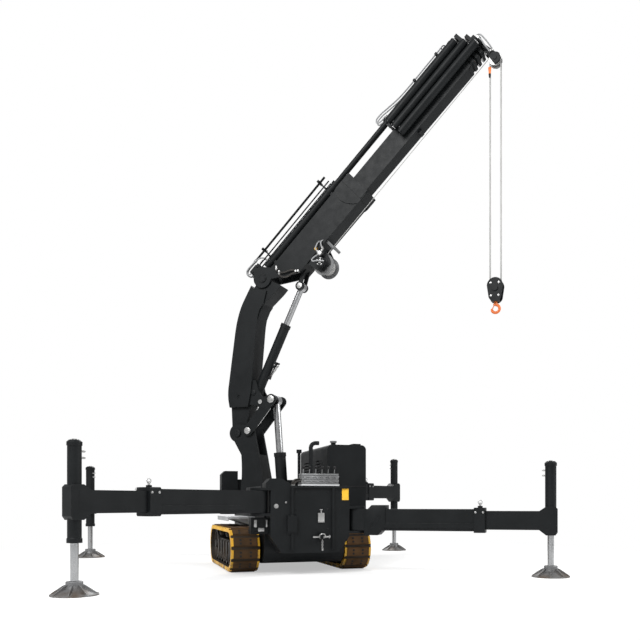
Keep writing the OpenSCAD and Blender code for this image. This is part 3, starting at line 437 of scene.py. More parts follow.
CAST_GREY = Finish(
    "cast_grey", (0.1, 0.103, 0.106), (0.145, 0.147, 0.147), (0.5, 0.7),
    pattern=Pattern.CAST, relief=0.0008, worn=(0.3, 0.3, 0.29), dirt=SOIL, dirt_top=0.2, specular=0.35,
)
FOOT_ZINC = Finish(
    "foot_zinc", (0.2, 0.203, 0.206), (0.14, 0.142, 0.145), (0.45, 0.65), metallic=0.55,
    pattern=Pattern.CAST, relief=0.0006, worn=(0.36, 0.36, 0.35), dirt=SOIL, dirt_top=0.12,
)
ALUMINIUM = Finish(
    "bare_aluminium", (0.5, 0.51, 0.52), (0.42, 0.43, 0.44), (0.34, 0.5), metallic=0.85,
    pattern=Pattern.TREAD, relief=0.002,
)
VALVE_ALLOY = Finish(
    "valve_alloy", (0.3, 0.305, 0.31), (0.19, 0.193, 0.196), (0.32, 0.5), metallic=0.7,
    pattern=Pattern.CAST, relief=0.0004,
)
BRIGHT_STRIP = Finish(
    "bright_strip", (0.7, 0.71, 0.72), (0.6, 0.61, 0.62), (0.35, 0.5), pattern=Pattern.BRUSHED
)
CHROME = Finish(
    "chrome_rod", (0.36, 0.365, 0.37), (0.32, 0.325, 0.33), (0.2, 0.3), metallic=1.0,
    pattern=Pattern.BRUSHED, relief=0.00005,
)
BARE_STEEL = Finish(
    "bare_steel", (0.42, 0.42, 0.415), (0.33, 0.33, 0.325), (0.3, 0.46), metallic=0.9,
    pattern=Pattern.BRUSHED, relief=0.0002,
)
WIRE_ROPE = Finish(
    "wire_rope", (0.34, 0.34, 0.333), (0.28, 0.28, 0.274), (0.5, 0.65), metallic=0.3,
    pattern=Pattern.LAID_ROPE, relief=0.002, edge=0.001,
)
HOOK_ORANGE = Finish(
    "hook_orange", (0.7, 0.17, 0.02), (0.56, 0.12, 0.015), (0.35, 0.55), worn=(0.3, 0.2, 0.12), relief=0.0003
)
# Light grey hose cover, made paler to stand in for the white highlight along the hoses: partly a painted
# highlight, with low specular.
PALE_HOSE_AND_SHEEN = Finish(
    "pale_hose_painted_sheen", (0.27, 0.275, 0.28), (0.22, 0.224, 0.228), (0.45, 0.6), edge=0.001, specular=0.25
)
BLACK_HOSE = Finish(
    "black_hose", (0.014, 0.013, 0.012), (0.026, 0.023, 0.02), (0.5, 0.7),
    pattern=Pattern.RIBBED_HOSE, relief=0.0006, edge=0.001, specular=0.3,
)
RUBBER = Finish(
    "black_rubber", (0.007, 0.007, 0.0075), (0.013, 0.013, 0.0135), (0.6, 0.85),
    pattern=Pattern.CAST, specular=0.25,
)
PLATE_YELLOW = Finish("plate_yellow", (0.76, 0.43, 0.02), (0.68, 0.37, 0.016), (0.35, 0.5), edge=0.001)

SLOT_FINISH: dict[str, Finish] = {
    "black_paint": BLACK_PAINT,
    "track_yellow": TRACK_YELLOW,
    "track_frame_black": FRAME_BLACK,
    "cast_grey": CAST_GREY,
    "bare_aluminium": ALUMINIUM,
    "chrome_rod": CHROME,
    "bare_steel": BARE_STEEL,
    "wire_rope": WIRE_ROPE,
    "hook_orange": HOOK_ORANGE,
}

CORNERS = ("lf", "rf", "lr", "rr")
FORWARDS: Point = (0, -1, 0)
UPWARDS: Point = (0, 0, 1)

# Sizes of the solids that several classes use
BOOM_PIN: tuple[float, float] = (-0.33, 2.14)
KNEE_EYE: tuple[float, float] = (0.337, -0.556)
SHEAVE_N = 0.036
FALL_R = 0.0813
ROPE_R = 0.006


@dataclass(frozen=True)
class Axes:
    """A local frame of the machine: along on X, across on Y and up on Z from an origin."""

    origin: Vector
    along: Vector
    across: Vector

    def matrix(self) -> Matrix:
        """Returns the matrix that takes local points to the machine."""
        up = self.along.cross(self.across)
        turn = Matrix((self.along, self.across, up)).transposed().to_4x4()
        return Matrix.Translation(self.origin) @ turn


def level(origin: Point | Vector) -> Axes:
    """Returns an unturned frame of the machine from an origin."""
    return Axes(Vector(origin), Vector((1, 0, 0)), Vector((0, 1, 0)))


class Joints:
    """Places and axes of the frame's joints."""

    def __init__(self, joints: list[dict]) -> None:
        """Keeps the joints by name."""
        self.by_name = {joint["name"]: joint for joint in joints}

    def place(self, name: str) -> Vector:
        """Returns where a joint is."""
        return Vector(self.by_name[name]["pos_m"])

    def axis(self, name: str) -> Vector:
        """Returns a joint's axis."""
        return Vector(self.by_name[name]["axis"]).normalized()

    def crane(self) -> Axes:
        """Returns the frame of the crane: reach along X and the boom's plane at Y = 0."""
        across = -self.axis("lift")
        return Axes(self.place("slew") * Vector((1, 1, 0)), across.cross(Vector((0, 0, 1))), across)

    def boom(self) -> Axes:
        """Returns the frame of the outer boom, along it from the elbow."""
        return Axes(self.place("elbow"), self.axis("telescope_1"), -self.axis("lift"))

    def arm(self, corner: str) -> Axes:
        """Works out the frame of an outrigger's arm.

        Args:
            corner: Corner of the carrier.

        Returns:
            The frame, along the arm from its pivot, on the ground.
        """
        along = self.axis(f"beam_{corner}_slide")
        across = Vector((0, 0, 1)).cross(along)
        return Axes(self.place(f"arm_{corner}_swing") * Vector((1, 1, 0)), along, across)


class Bench:
    """A piece in the making: shapes are added in local metres and set into the machine at the end."""

    def __init__(self, name: str, axes: Axes | None = None) -> None:
        """Starts a piece.

        Args:
            name: Name of the piece.
            axes: Its local frame, or None for the machine's.
        """
        self.name = name
        self.matrix = axes.matrix() if axes else Matrix.Identity(4)
        self.bm = bmesh.new()

    def _set(self, verts: list[bmesh.types.BMVert], start: Vector, end: Vector) -> None:
        """Turns new vertices from the Z axis to a line and moves them to its middle.

        Args:
            verts: The new vertices.
            start: Start of the line.
            end: End of the line.
        """
        turn = Vector((0, 0, 1)).rotation_difference(end - start).to_matrix().to_4x4()
        bmesh.ops.transform(self.bm, matrix=Matrix.Translation((start + end) / 2) @ turn, verts=verts)

    def _bevel(self, verts: list[bmesh.types.BMVert], width: float, angle: float = 0.6) -> None:
        """Rounds the sharp edges of new vertices.

        Args:
            verts: The new vertices.
            width: Width of the rounded edges.
            angle: Angle between two faces past which their edge is sharp.
        """
        edges = dict.fromkeys(e for v in verts for e in v.link_edges if e.calc_face_angle(0.0) > angle)
        bmesh.ops.bevel(
            self.bm, geom=list(edges), offset=width, offset_type="OFFSET", affect="EDGES", segments=2,
            profile=0.5, material=-1, clamp_overlap=True,
        )

    def rod(
        self,
        start: Point,
        end: Point,
        radius: float,
        radius_2: float | None = None,
        sides: int = 24,
        edge: float = 0.0,
    ) -> "Bench":
        """Adds a round rod or cone between two points.

        Args:
            start: Middle of the first end.
            end: Middle of the second end.
            radius: Radius at the first end.
            radius_2: Radius at the second end, or None for the same.
            sides: Sides of the rod; 6 gives a hexagon.
            edge: Width of the rounded end edges.

        Returns:
            This piece.
        """
        a, b = Vector(start), Vector(end)
        made = bmesh.ops.create_cone(
            self.bm, cap_ends=True, segments=sides, radius1=radius,
            radius2=radius if radius_2 is None else radius_2, depth=(b - a).length,
        )
        self._set(made["verts"], a, b)
        if edge:
            self._bevel(made["verts"], edge)
        return self

    def block(self, low: Point, high: Point, edge: float = 0.003) -> "Bench":
        """Adds a block with rounded edges between two corners.

        Args:
            low: Lowest corner.
            high: Highest corner.
            edge: Width of its rounded edges.

        Returns:
            This piece.
        """
        lo, hi = Vector(low), Vector(high)
        made = bmesh.ops.create_cube(self.bm, size=1.0)
        bmesh.ops.scale(self.bm, vec=hi - lo, verts=made["verts"])
        bmesh.ops.translate(self.bm, vec=(lo + hi) / 2, verts=made["verts"])
        if edge:
            self._bevel(made["verts"], edge)
        return self

    def prism(
        self, outline: list[tuple[float, float]], start: float, end: float, edge: float = 0.004
    ) -> "Bench":
        """Adds an outline in local X and Z, drawn out along Y.

        Args:
            outline: Corners of the outline, along and up.
            start: Where the prism starts across.
            end: Where it ends across.
            edge: Width of its rounded edges.

        Returns:
            This piece.
        """
        verts = [self.bm.verts.new((x, start, z)) for x, z in outline]
        face = self.bm.faces.new(verts)
        made = bmesh.ops.extrude_face_region(self.bm, geom=[face])
        far = [v for v in made["geom"] if isinstance(v, bmesh.types.BMVert)]
        bmesh.ops.translate(self.bm, vec=(0, end - start, 0), verts=far)
        bmesh.ops.recalc_face_normals(self.bm, faces=list({f for v in verts + far for f in v.link_faces}))
        if edge:
            self._bevel(verts + far, edge)
        return self

    def ring(
        self, centre: Point, axis: Point, radius: float, wire: float, steps: int = 32, sides: int = 8
    ) -> "Bench":
        """Adds a round ring of wire.

        Args:
            centre: Middle of the ring.
            axis: Axis of the ring.
            radius: Radius to the middle of the wire.
            wire: Radius of the wire.
            steps: Steps round the ring.
            sides: Sides of the wire.

        Returns:
            This piece.
        """
        made = bmesh.ops.create_circle(self.bm, segments=sides, radius=wire)
        upright = Matrix.Rotation(math.pi / 2, 3, "X")
        bmesh.ops.rotate(self.bm, cent=(0, 0, 0), matrix=upright, verts=made["verts"])
        bmesh.ops.translate(self.bm, vec=(radius, 0, 0), verts=made["verts"])
        edges = list(dict.fromkeys(e for v in made["verts"] for e in v.link_edges))
        before = set(self.bm.verts) - set(made["verts"])
        bmesh.ops.spin(
            self.bm, geom=made["verts"] + edges, cent=(0, 0, 0), axis=(0, 0, 1), angle=2 * math.pi,
            steps=steps, use_merge=True,
        )
        verts = [v for v in self.bm.verts if v not in before]
        turn = Vector((0, 0, 1)).rotation_difference(Vector(axis)).to_matrix().to_4x4()
        bmesh.ops.transform(self.bm, matrix=Matrix.Translation(centre) @ turn, verts=verts)
        bmesh.ops.recalc_face_normals(self.bm, faces=list({f for v in verts for f in v.link_faces}))
        return self

    def bolt(self, at: Point, out: Point, radius: float = 0.012, height: float = 0.009) -> "Bench":
        """Adds a hexagon bolt head with its washer, standing out of a face.

        Args:
            at: Middle of the head's foot, on the face.
            out: The way out of the face.
            radius: Radius of the head.
            height: Height of the head.

        Returns:
            This piece.
        """
        foot, way = Vector(at), Vector(out).normalized()
        self.rod(foot - 0.002 * way, foot + 0.002 * way, radius * 1.5, sides=16)
        return self.rod(foot, foot + height * way, radius, sides=6)

    def done(self, body: str, finish: Finish) -> bpy.types.Object:
        """Makes the object, rides it on a body and gives it its finish.

        Args:
            body: Body that carries the piece.
            finish: Finish of the whole piece.

        Returns:
            The object.
        """
        return settle(self._object(), body, finish)

    def spanning(self, bodies: tuple[str, str], start: Point, end: Point, finish: Finish) -> bpy.types.Object:
        """Makes the object, which reaches from one body to another but rides on neither, and gives it its
        finish.

        Args:
            bodies: Names of the bodies at its two ends, which only the log shows.
            start: Not used.
            end: Not used.
            finish: Finish of the whole piece.

        Returns:
            The object.
        """
        obj = self._object()
        bpy.context.scene.collection.objects.link(obj)
        obj.data.materials.append(finish.material())
        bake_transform(obj)
        LOG.info("piece %s from %s to %s, %s", obj.name, *bodies, finish.name)
        return obj

    def _object(self) -> bpy.types.Object:
        """Sets the shapes into the machine and returns the new object."""
        bmesh.ops.transform(self.bm, matrix=self.matrix, verts=self.bm.verts)
        mesh = bpy.data.meshes.new(self.name)
        self.bm.to_mesh(mesh)
        self.bm.free()
        mesh.shade_smooth()
        mesh.set_sharp_from_angle(angle=math.radians(35))
        return bpy.data.objects.new(self.name, mesh)


def settle(obj: bpy.types.Object, body: str, finish: Finish) -> bpy.types.Object:
    """Links an object to the scene, rides it on a body and gives it its finish.

    Args:
        obj: New mesh or curve object, placed by its own points.
        body: Body that carries it.
        finish: Finish of the whole piece.

    Returns:
        The object.
    """
    bpy.context.scene.collection.objects.link(obj)
    obj.data.materials.append(finish.material())
    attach(obj, body)
    LOG.info("piece %s on %s, %s", obj.name, body, finish.name)
    return obj


def line(
    name: str, axes: Axes, points: list[Point], radius: float, body: str, finish: Finish
) -> bpy.types.Object:
    """Makes a bent pipe or a hose that its fittings hold, along a smooth curve.

    Args:
        name: Name of the piece.
        axes: Local frame of the points.
        points: Points on the middle of the line.
        radius: Radius of the line.
        body: Body that carries it.
        finish: Its finish.

    Returns:
        The object.
    """
    curve = bpy.data.curves.new(name, "CURVE")
    curve.dimensions = "3D"
    curve.bevel_depth = radius
    curve.bevel_resolution = 4
    curve.resolution_u = 10
    curve.use_fill_caps = True
    spline = curve.splines.new("BEZIER")
    spline.bezier_points.add(len(points) - 1)
    matrix = axes.matrix()
    for knot, point in zip(spline.bezier_points, points):
        knot.co = matrix @ Vector(point)
        knot.handle_left_type = knot.handle_right_type = "AUTO"
    return settle(bpy.data.objects.new(name, curve), body, finish)


def repaint(node: bpy.types.Object, finish: Finish, test: Callable[[Vector], bool]) -> None:
    """Gives the faces of a node that pass a test another finish.

    Args:
        node: CAD node.
        finish: Finish of those faces.
        test: Tells from the middle of a face whether it takes the finish.
    """
    node.data.materials.append(finish.material())
    last = len(node.data.materials) - 1
    for face in node.data.polygons:
        if test(face.center):
            face.material_index = last


@dataclass
class Studio:
    """Pale floor, soft light and the camera at the photograph's place.

    Attributes:
        eye: Place of the camera.
        look: Direction that the camera looks in.
        lens_mm: Focal length for a 36 mm sensor.
        shift: Shift of the lens, in widths of the picture.
        floor_half: Half the width of the floor.
        floor_fade: Distances at which the floor starts and ends to fade to plain white.
        floor_share: Share of plain white that the camera sees near the machine.
        sky: Strength of the world's light.
        key_watts: Power of the main lamp.
        fill_watts: Power of the two other lamps.
    """

    eye: Point = (-2.556, -11.43, 0.992)
    look: Point = (0.3326, 0.9431, 0.0)
    lens_mm: float = 41.6
    shift: tuple[float, float] = (-0.0843, 0.285)
    floor_half: float = 60.0
    floor_fade: tuple[float, float] = (4.6, 7.5)
    floor_share: float = 0.45
    sky: float = 0.55
    key_watts: float = 2600.0
    fill_watts: float = 1100.0

    def build(self) -> None:
        """Makes the floor, the lamps, the world and the camera."""
        bpy.context.scene.view_settings.view_transform = "Standard"
        self._floor()
        self._world()
        self._lamp("key", (-9.0, -9.0, 12.0), self.key_watts, 7.0)
        self._lamp("fill", (11.0, -6.0, 8.0), self.fill_watts, 7.0)
        self._lamp("back", (2.0, 11.0, 11.0), self.fill_watts, 6.0)
        self._camera()

    def _floor(self) -> None:
        """Makes the pale floor."""
        bm = bmesh.new()
        bmesh.ops.create_grid(bm, x_segments=1, y_segments=1, size=self.floor_half)
        mesh = bpy.data.meshes.new("floor")
        bm.to_mesh(mesh)
        bm.free()
        floor = bpy.data.objects.new("floor", mesh)
        bpy.context.scene.collection.objects.link(floor)
        floor.data.materials.append(self._floor_material())

    def _floor_material(self) -> bpy.types.Material:
        """Makes the floor's material, which the camera sees fade to white away from the machine.

        Returns:
            The material, matt white for light and part plain white for the camera.
        """
        material = bpy.data.materials.new("pale_floor")
        material.use_nodes = True
        tree = ShaderTree(material.node_tree)
        shader = tree.shader()
        shader.inputs["Base Color"].default_value = (0.88, 0.88, 0.88, 1.0)
        shader.inputs["Roughness"].default_value = 0.9
        shader.inputs["Specular IOR Level"].default_value = 0.0
        plain = tree.node("ShaderNodeEmission")
        plain.inputs["Color"].default_value = (1.0, 1.0, 1.0, 1.0)
        far = tree.node("ShaderNodeVectorMath")
        far.operation = "LENGTH"
        tree.link(tree.place(), far.inputs[0])
        share = tree.stretch(far.outputs["Value"], *self.floor_fade, self.floor_share, 1.0)
        seen = tree.node("ShaderNodeLightPath").outputs["Is Camera Ray"]
        mix = tree.node("ShaderNodeMixShader")
        tree.link(tree.math("MULTIPLY", share, seen), mix.inputs["Fac"])
        tree.link(shader.outputs["BSDF"], mix.inputs[1])
        tree.link(plain.outputs["Emission"], mix.inputs[2])
        tree.link(mix.outputs["Shader"], tree.output().inputs["Surface"])
        return material

    def _world(self) -> None:
        """Makes a plain world that the camera, metal and glass see as white."""
        world = bpy.data.worlds.new("studio")
        world.use_nodes = True
        tree = world.node_tree
        back = tree.nodes["Background"]
        back.inputs["Color"].default_value = (1, 1, 1, 1)
        path = tree.nodes.new("ShaderNodeLightPath")
        seen = tree.nodes.new("ShaderNodeMath")
        seen.operation = "MAXIMUM"
        tree.links.new(path.outputs["Is Camera Ray"], seen.inputs[0])
        tree.links.new(path.outputs["Is Transmission Ray"], seen.inputs[1])
        ramp = tree.nodes.new("ShaderNodeMapRange")
        ramp.inputs["To Min"].default_value = self.sky
        ramp.inputs["To Max"].default_value = 1.0
        tree.links.new(seen.outputs[0], ramp.inputs["Value"])
        tree.links.new(ramp.outputs["Result"], back.inputs["Strength"])
        bpy.context.scene.world = world

    def _lamp(self, name: str, place: Point, watts: float, size: float) -> None:
        """Adds a soft square lamp that looks at the middle of the machine.

        Args:
            name: Name of the lamp.
            place: Where it stands.
            watts: Its power.
            size: Its width.
        """
        lamp = bpy.data.lights.new(name, "AREA")
        lamp.energy = watts
        lamp.size = size
        obj = bpy.data.objects.new(name, lamp)
        obj.location = place
        obj.rotation_euler = (Vector((0, 0, 2.5)) - Vector(place)).to_track_quat("-Z", "Y").to_euler()
        bpy.context.scene.collection.objects.link(obj)

    def _camera(self) -> None:
        """Adds the camera, level, with the photograph's lens and shift."""
        data = bpy.data.cameras.new("camera")
        data.lens = self.lens_mm
        data.sensor_width = 36.0
        data.shift_x, data.shift_y = self.shift
        data.clip_end = 300.0
        camera = bpy.data.objects.new("camera", data)
        camera.location = self.eye
        camera.rotation_euler = Vector(self.look).to_track_quat("-Z", "Y").to_euler()
        bpy.context.scene.collection.objects.link(camera)
        bpy.context.scene.camera = camera


@dataclass
class Track:
    """One track: its soiled pads, yellow plates and the bolts of its shoes.

    Attributes:
        node: Name of the track's CAD node.
        shoe_count: Shoes round the chain.
        shoe_t: Height of a shoe with its pad over the chain line.
        plate_t: Height of a shoe's plate over the chain line.
        shoe_gap: Gap between two shoes.
        slope: Length of the pad's sloping edge, along the chain.
        pad_inset: Distance of the pad from the plate's edge, along the chain.
        pad_side: Distance of the pad from the plate's edge, across the track.
        plate_seam: How far over the plate a face has to lie to be the pad's.
        side_seam: How far past the pad's side a face has to lie to be the plate's.
        bolt_out: Distance of a bolt from the track's middle.
        bolt_along: Distance of a bolt from the shoe's middle.
        bolt_r: Radius of a bolt's head.
        bolt_rise: How far a bolt's head stands out of the pad, and into it.
    """

    node: str
    shoe_count: int = 32
    shoe_t: float = 0.030
    plate_t: float = 0.013
    shoe_gap: float = 0.022
    slope: float = 0.006
    pad_inset: float = 0.009
    pad_side: float = 0.034
    plate_seam: float = 0.001
    side_seam: float = 0.003
    bolt_out: float = 0.07
    bolt_along: float = 0.026
    bolt_r: float = 0.0165
    bolt_rise: float = 0.003

    def __post_init__(self) -> None:
        """Works out the chain line from the node's box."""
        self.low, self.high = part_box(self.node)
        self.height = self.high.z - self.low.z
        self.mid_x = (self.low.x + self.high.x) / 2
        self.run = (self.high.y - self.low.y) - self.height
        self.chain_r = self.height / 2 - self.shoe_t

    def dress(self, node: bpy.types.Object) -> None:
        """Gives each face of the node the finish of what it is.

        Args:
            node: The track's CAD node.
        """
        finishes = (TRACK_YELLOW, PAD_SOIL, CHAIN_STEEL)
        node.data.materials.clear()
        for finish in finishes:
            node.data.materials.append(finish.material())
        side = (self.high.x - self.low.x) / 2 - self.pad_side + self.side_seam
        for face in node.data.polygons:
            if self._out(face.center) > self.plate_t + self.plate_seam:
                finish = PAD_SOIL
            else:
                finish = TRACK_YELLOW if abs(face.center.x - self.mid_x) > side else CHAIN_STEEL
            face.material_index = finishes.index(finish)

    def _out(self, at: Vector) -> float:
        """Returns how far a point lies outside the chain line."""
        along = max(0.0, abs(at.y - (self.low.y + self.high.y) / 2) - self.run / 2)
        return math.hypot(along, at.z - self.height / 2) - self.chain_r

    def _shoe(self, i: int) -> tuple[Vector, float, float]:
        """Returns a shoe's place on the chain line, its turn and the height of its pad.

        Args:
            i: Number of the shoe from the start of the lower run.

        Returns:
            The point in the plane of the track, the turn in radians and the height.
        """
        arc = math.pi * self.chain_r
        pitch = (2 * self.run + 2 * arc) / self.shoe_count
        half = (pitch - self.shoe_gap) / 2 - self.pad_inset - self.slope
        round_top = math.sqrt((self.chain_r + self.shoe_t) ** 2 - half**2) - self.chain_r
        s = (i + 0.5) * pitch
        if s < self.run:
            return Vector((-self.run / 2 + s, -self.chain_r)), 0.0, self.shoe_t
        if s < self.run + arc:
            turn = (s - self.run) / self.chain_r
            at = Vector((self.run / 2 + self.chain_r * math.sin(turn), -self.chain_r * math.cos(turn)))
            return at, turn, round_top
        if s < 2 * self.run + arc:
            return Vector((self.run / 2 - (s - self.run - arc), self.chain_r)), math.pi, self.shoe_t
        turn = (s - 2 * self.run - arc) / self.chain_r
        at = Vector((-self.run / 2 - self.chain_r * math.sin(turn), self.chain_r * math.cos(turn)))
        return at, math.pi + turn, round_top

    def build(self) -> None:
        """Adds the bolts of the shoes that aren't on the ground."""
        bolts = Bench(self.node + "_bolts")
        for i in range(self.shoe_count):
            at, turn, top = self._shoe(i)
            if turn == 0.0:
                continue
            along = Vector((math.cos(turn), math.sin(turn)))
            out = Vector((math.sin(turn), -math.cos(turn)))
            for side in (-1, 1):
                x = self.mid_x + side * self.bolt_out
                for end in (-1, 1):
                    foot = at + end * self.bolt_along * along + top * out
                    inner, outer = foot - self.bolt_rise * out, foot + self.bolt_rise * out
                    start = (x, inner.x, self.height / 2 + inner.y)
                    bolts.rod(start, (x, outer.x, self.height / 2 + outer.y), self.bolt_r, sides=10)
        bolts.done("carrier", RUBBER)


@dataclass
class FrontFace:
    """Fittings on the front cross beam and on the locker beside it.

    Attributes:
        face_y: Place of the cross beam's front face.
        door_y: Place of the locker door's outer face.
        latches: Middle across, height, width and tallness of each latch on the door.
        latch_t: Thickness of a latch.
        hinge_x: Places of the door's hinges, across.
        hinge_z: Height of the hinges.
        hinge_half: Half the length of a hinge.
        plate_at: Middle of the blank plate, across and up.
        plate_half: Half the width and height of the blank plate.
        pin_at: Middle of the pin plate, across and up.
        pin_half: Half the width and height of the pin plate.
        pin_t: Thickness of the pin plate.
        plugs: Place across, height, radius and rise of each bright plug.
        bolt_x: Places of the beam's bolts, across.
        bolt_z: Heights of the beam's bolts.
        tow: Middle of the towing pin, from the front face.
        tow_half: Half the length of the towing pin.
        chain_out: Distance of the chain in front of the towing pin.
        link_count: Links of the chain.
        link_pitch: Distance from one link to the next.
    """

    face_y: float = -1.58
    door_y: float = -1.46
    latches: tuple[tuple[float, float, float, float], ...] = (
        (-0.742, 0.706, 0.038, 0.1),
        (-0.588, 0.706, 0.022, 0.1),
        (-0.664, 0.622, 0.084, 0.05),
    )
    latch_t: float = 0.014
    hinge_x: tuple[float, float] = (-0.72, -0.63)
    hinge_z: float = 0.59
    hinge_half: float = 0.03
    plate_at: tuple[float, float] = (0.494, 1.104)
    plate_half: tuple[float, float] = (0.048, 0.08)
    pin_at: tuple[float, float] = (0.145, 0.782)
    pin_half: tuple[float, float] = (0.045, 0.066)
    pin_t: float = 0.016
    plugs: tuple[tuple[float, float, float, float], ...] = (
        (-0.48, 0.942, 0.021, 0.012),
        (-0.347, 0.992, 0.009, 0.007),
    )
    bolt_x: tuple[float, ...] = (-0.21, 0.24, 0.42)
    bolt_z: tuple[float, ...] = (0.62, 0.9, 1.13)
    tow: Point = (0.13, -0.06, 0.52)
    tow_half: float = 0.115
    chain_out: float = 0.065
    link_count: int = 6
    link_pitch: float = 0.021

    def build(self) -> None:
        """Makes the latches, the blank plate, the pin plate, the towing pin and the bolts."""
        front = level((0, self.face_y, 0))
        self._latches(level((0, self.door_y, 0)))
        x, z = self.plate_at
        w, h = self.plate_half
        plate = Bench("blank_plate", front).block((x - w, -0.004, z - h), (x + w, 0.002, z + h), 0.002)
        plate.done("carrier", PLATE_YELLOW)
        self._pin_plate(front)
        self._towing_pin(front)
        bolts = Bench("front_bolts", front)
        for x in self.bolt_x:
            for z in self.bolt_z:
                bolts.bolt((x, 0, z), FORWARDS, 0.011, 0.009)
        bolts.done("carrier", BLACK_PAINT)

    def _pin_plate(self, front: Axes) -> None:
        """Makes the plate with its upright pin and cross handle, its bolts and the plugs beside it.

        Args:
            front: Frame of the cross beam's front face.
        """
        x, z = self.pin_at
        w, h = self.pin_half
        n, top = -self.pin_t / 2, z + h
        pin = Bench("pin_plate", front).block((x - w, -self.pin_t, z - h), (x + w, 0.004, top))
        pin.rod((x, n, top - 0.004), (x, n, top + 0.05), 0.008, edge=0.002)
        pin.rod((x - 0.02, n, top + 0.046), (x + 0.02, n, top + 0.046), 0.006)
        for side in (-1, 1):
            pin.bolt((x + side * 0.7 * w, -self.pin_t, z - 0.75 * h), FORWARDS, 0.006, 0.005)
        for plug_x, plug_z, radius, rise in self.plugs:
            pin.bolt((plug_x, 0, plug_z), FORWARDS, radius, rise)
        pin.done("carrier", BARE_STEEL)

    def _latches(self, door: Axes) -> None:
        """Makes the three latches on the locker's door and its hinges.

        Args:
            door: Frame of the door's outer face.
        """
        latches = Bench("locker_latches", door)
        for x, z, w, h in self.latches:
            latches.block((x - w / 2, -self.latch_t, z - h / 2), (x + w / 2, 0.003, z + h / 2))
            latches.rod((x, 0.0, z), (x, -self.latch_t - 0.006, z), 0.35 * min(w, h), edge=0.002)
        latches.done("carrier", BARE_STEEL)
        hinges = Bench("locker_hinges", door)
        half, z = self.hinge_half, self.hinge_z
        for x in self.hinge_x:
            hinges.rod((x - half, -0.004, z), (x + half, -0.004, z), 0.009, edge=0.002)
        hinges.done("carrier", BLACK_PAINT)

    def _towing_pin(self, front: Axes) -> None:
        """Makes the pin through the towing lug, its ring and the short chain under it.

        Args:
            front: Frame of the cross beam's front face.
        """
        x, y, z = self.tow
        pin = Bench("towing_pin", front)
        pin.rod((x - self.tow_half, y, z), (x + self.tow_half, y, z), 0.013, edge=0.003)
        pin.rod((x + self.tow_half - 0.007, y, z), (x + self.tow_half + 0.009, y, z), 0.024, edge=0.003)
        pin.ring((x, y - 0.062, z + 0.012), (0, 0.8, 0.6), 0.042, 0.006)
        hang = y - self.chain_out
        for i in range(self.link_count):
            axis = (0, 1, 0) if i % 2 else (1, 0, 0)
            pin.ring((x, hang, z - 0.045 - self.link_pitch * i), axis, 0.011, 0.0032, 16, 6)
        pin.rod((x, hang, z - 0.162), (x, hang, z - 0.186), 0.011, edge=0.004)
        pin.done("carrier", BARE_STEEL)


